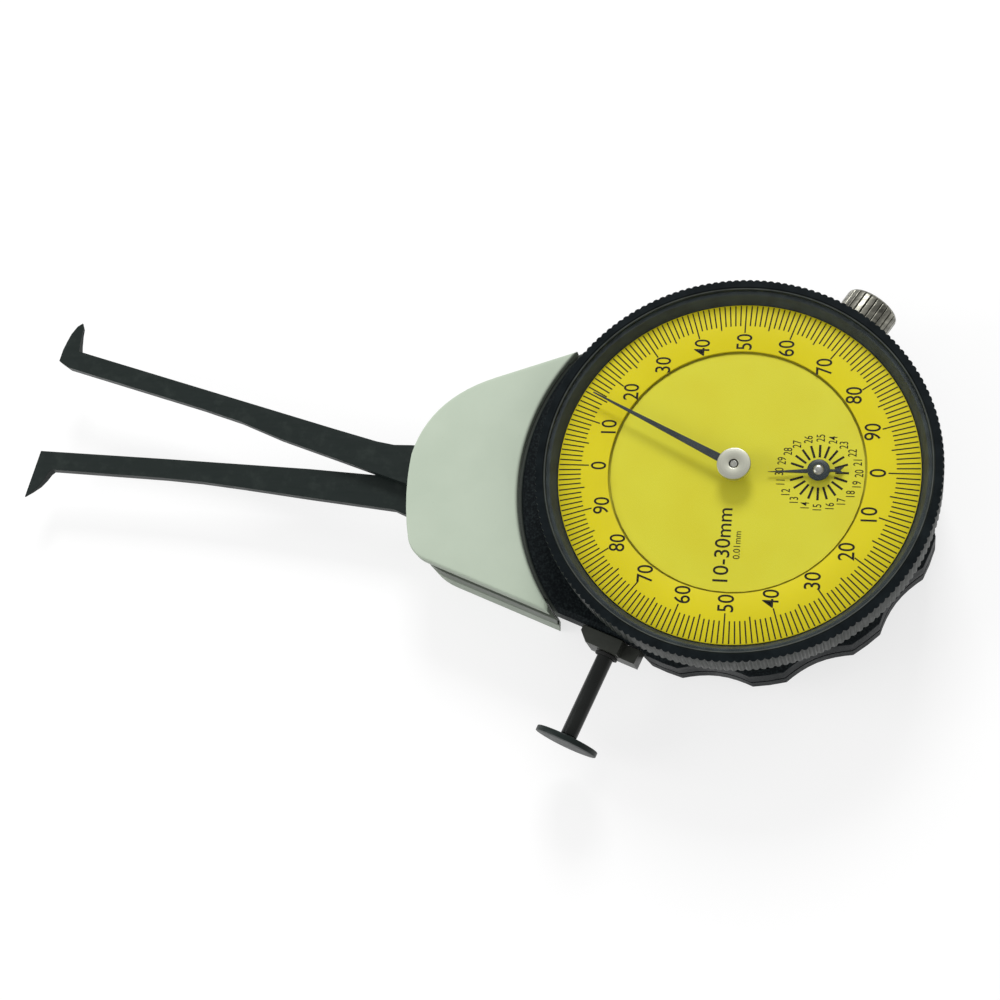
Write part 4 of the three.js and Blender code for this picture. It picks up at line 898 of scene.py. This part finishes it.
def makeRearCover():
    low, high = boxOf("rear_cover")
    wall, edge, middle = rearLook["wall"], rearLook["edge"], rearLook["edgeMiddle"]
    bottom, top, seam, step = low[2], high[2], rearLook["seam"], rearLook["seamDepth"]
    rim = [(edge, bottom), (middle, bottom + middle), (0, bottom + edge), (0, seam - step), (step, seam),
           (step, top), (wall, top), (wall, rearLook["floor"])]
    # the sharp end loses most at the back
    clip = coverPlan["clipShare"] / top
    rows = [(inset, height, rearLook["corner"] * (1 - clip * height)) for inset, height in rim]
    loops = coverRows(rows, rearLook, rearLook["slotFloor"])
    sides = (np.concatenate(loops), gridFaces(len(rows), len(loops[0]), False))
    heads = [boxOf(name) for name in sorted(nodes) if name.startswith("rear_cover_screw")]
    holes = [circle(rearLook["recess"], ((head[0] + head[1]) / 2)[:2], 40) for head in heads]
    back = pocketFace(loops[0][:, :2], holes, bottom, rearLook["recessDepth"])
    floor = pocketFace(loops[-1][:, :2], [], rearLook["floor"], 0)
    points, faces = joined([sides, back, floor])
    # painted shade: the upper part of the rear cover, below the front cover's overhang, is painted darker
    blend = [seam + above for above in rearLook["paintedShadeBlend"]]
    # painted shade: the whole rear cover paint is dimmed by its tone
    paint = coverPaint("rearCoverPaint", rearLook["tone"], blend, rearLook["paintedShadeTone"])
    made = addMesh("rearTray", points, faces, "case", paint, True, 32)
    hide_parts("rear_cover")


# jaws: the same blades, their hooks ground thinner from below towards the tips

jawLook = {"ground": 5.6, "thin": 0.2}


def makeJaw(node, name, body, upwards):
    source = nodes[node]
    flat = np.zeros(len(source.data.vertices) * 3)
    source.data.vertices.foreach_get("co", flat)
    turn = np.array(source.matrix_world)
    points = (flat.reshape(-1, 3) @ turn[:3, :3].T + turn[:3, 3]) / mm
    hook = points[points[:, 0] < points[:, 0].min() + 2 * jawLook["ground"]]
    tip = hook[np.argmax(hook[:, 1] * upwards)]
    top = points[:, 2].max()
    # thickness left, as a share, grows in step with the distance from the tip in plan
    reach = np.hypot(points[:, 0] - tip[0], points[:, 1] - tip[1]) / jawLook["ground"]
    share = jawLook["thin"] + (1 - jawLook["thin"]) * np.clip(reach, 0, 1)
    points[:, 2] = top - (top - points[:, 2]) * share
    faces = [list(polygon.vertices) for polygon in source.data.polygons]
    made = addMesh(name, points, faces, body, looks["black_steel"], True, 32)
    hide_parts(node)


# screws that show on the back: slotted heads in their recesses

screwLook = {"head": 1.5, "edge": 0.12, "headHeight": 0.75, "shaft": 0.7, "slot": (1.25, 0.2),
             "slotDepth": 0.35, "turnEach": 1.1, "steps": 40}


def makeBackScrews():
    head, shaft, edge, steps = (screwLook[key] for key in ("head", "shaft", "edge", "steps"))
    length, half = screwLook["slot"]
    corners = np.array([(-length, -half), (length, -half), (length, half), (-length, half)])
    for order, name in enumerate(sorted(nodes)):
        if not name.startswith(("rear_cover_screw", "case_screw")):
            continue
        low, high = boxOf(name)
        middle, bottom = ((low + high) / 2)[:2], low[2]
        turn, neck = order * screwLook["turnEach"], bottom + screwLook["headHeight"]
        spin = np.array([[math.cos(turn), math.sin(turn)], [-math.sin(turn), math.cos(turn)]])
        rows = [(head - edge, bottom), (head, bottom + edge), (head, neck), (shaft, neck), (shaft, high[2])]
        rings = [np.column_stack([circle(radius, middle, steps), np.full(steps, height)])
                 for radius, height in rows]
        faces = gridFaces(len(rows), steps, False).tolist()
        faces.append([(len(rows) - 1) * steps + i for i in range(steps)])
        slot = [corners @ spin + middle]
        face = pocketFace(rings[0][:, :2], slot, bottom, screwLook["slotDepth"])
        points, faces = joined([(np.concatenate(rings), faces), face])
        made = addMesh("slotted_" + name, points, faces, "case", looks["black_steel"],
                       True, 35)
        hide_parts(name)


makeFrontCover()
makeRearCover()
makeJaw("moving_jaw", "movingBlade", "jaw_body", 1)
makeJaw("fixed_jaw", "fixedBlade", "case", -1)
makeBackScrews()
print("covers, jaws and back screws made")


# edges of the CAD pieces stay crisp and their round walls smooth

edgeLook = {"weld": 0.002, "angle": 32}
for piece in nodes.values():
    weld = piece.modifiers.new("weld", "WELD")
    weld.merge_threshold = edgeLook["weld"] * mm
    crease = piece.modifiers.new("crease", "EDGE_SPLIT")
    crease.use_edge_angle = True
    crease.split_angle = math.radians(edgeLook["angle"])
    piece.data.polygons.foreach_set("use_smooth", [True] * len(piece.data.polygons))


# studio

# sizes and places here are in metres
studio = {"floor": (0.32, 0.32, 0.32), "half": 3.0, "paper": 30.0, "roughness": 0.9, "lift": 0.72,
          "sky": 0.50, "centre": (-0.02, 0.0, 0.01)}
# place, size and power of each lamp
lamps = {"key": ((-0.02, 0.56, 0.46), (0.26, 0.22), 2.9),
         "fill": ((-0.50, -0.10, 0.30), (0.30, 0.30), 1.0),
         "side": ((0.20, -0.55, 0.25), (0.35, 0.20), 0.1)}
view = {"lens": 59.2725, "sensor": 36.0, "near": 0.01, "far": 10.0}
# rows of the camera's matrix: right, up and back as columns, then its place
viewRows = (
    (0.9674629, -0.0318733, 0.2509971, 0.0258877),
    (0.1116601, 0.9439867, -0.3105174, -0.0785801),
    (-0.2270407, 0.3284404, 0.9168312, 0.2325549),
    (0.0, 0.0, 0.0, 1.0),
)


def areaLight(name, place, size, power):
    data = bpy.data.lights.new(name, "AREA")
    data.shape = "RECTANGLE"
    data.size, data.size_y = size
    data.energy = power
    lamp = bpy.data.objects.new(name, data)
    bpy.context.scene.collection.objects.link(lamp)
    lamp.location = place
    lamp.rotation_mode = "QUATERNION"
    lamp.rotation_quaternion = (Vector(studio["centre"]) - Vector(place)).to_track_quat("-Z", "Y")


def makeFloor():
    half = studio["half"]
    mesh = bpy.data.meshes.new("floor")
    corners = [(-half, -half, 0), (half, -half, 0), (half, half, 0), (-half, half, 0)]
    mesh.from_pydata(corners, [], [(0, 1, 2, 3)])
    floor = bpy.data.objects.new("floor", mesh)
    bpy.context.scene.collection.objects.link(floor)
    material, tree, shader = newMaterial("floorPaper")
    paper = noiseAt(tree, studio["paper"], 2.0)
    colour = mixColour(tree, paper, rgb(*studio["floor"]), rgb(*scaled(studio["floor"], 0.99)))
    tree.links.new(colour, shader.inputs["Base Color"])
    setShine(shader, studio["roughness"], 0.0)
    # what is seen directly, in a reflection or through glass is lifted towards white
    paths, total = addNode(tree, "ShaderNodeLightPath"), 0.0
    for kind in ("Is Camera Ray", "Is Glossy Ray", "Is Transmission Ray"):
        terms = {0: total, 1: paths.outputs[kind]}
        total = addNode(tree, "ShaderNodeMath", {"operation": "ADD", "use_clamp": True}, terms).outputs[0]
    lift = ramp(tree, total, 0.0, 1.0, 0.0, studio["lift"])
    glow = addNode(tree, "ShaderNodeEmission", {}, {"Color": rgb(1.0, 1.0, 1.0), "Strength": lift})
    whole = addNode(tree, "ShaderNodeAddShader", {}, {0: shader.outputs[0], 1: glow.outputs[0]})
    tree.links.new(whole.outputs[0], outputOf(tree).inputs[0])
    mesh.materials.append(material)


def makeLights():
    world = bpy.data.worlds.new("studio")
    bpy.context.scene.world = world
    world.use_nodes = True
    sky = world.node_tree.nodes["Background"]
    sky.inputs[0].default_value = rgb(1.0, 1.0, 1.0)
    sky.inputs[1].default_value = studio["sky"]
    for name, (place, size, power) in lamps.items():
        areaLight(name, place, size, power)


def makeCamera():
    data = bpy.data.cameras.new("camera")
    data.lens, data.sensor_width = view["lens"], view["sensor"]
    data.clip_start, data.clip_end = view["near"], view["far"]
    camera = bpy.data.objects.new("camera", data)
    bpy.context.scene.collection.objects.link(camera)
    camera.matrix_world = Matrix(viewRows)
    bpy.context.scene.camera = camera


makeFloor()
makeLights()
makeCamera()
bpy.context.scene.view_settings.view_transform = "Standard"
print("studio set")
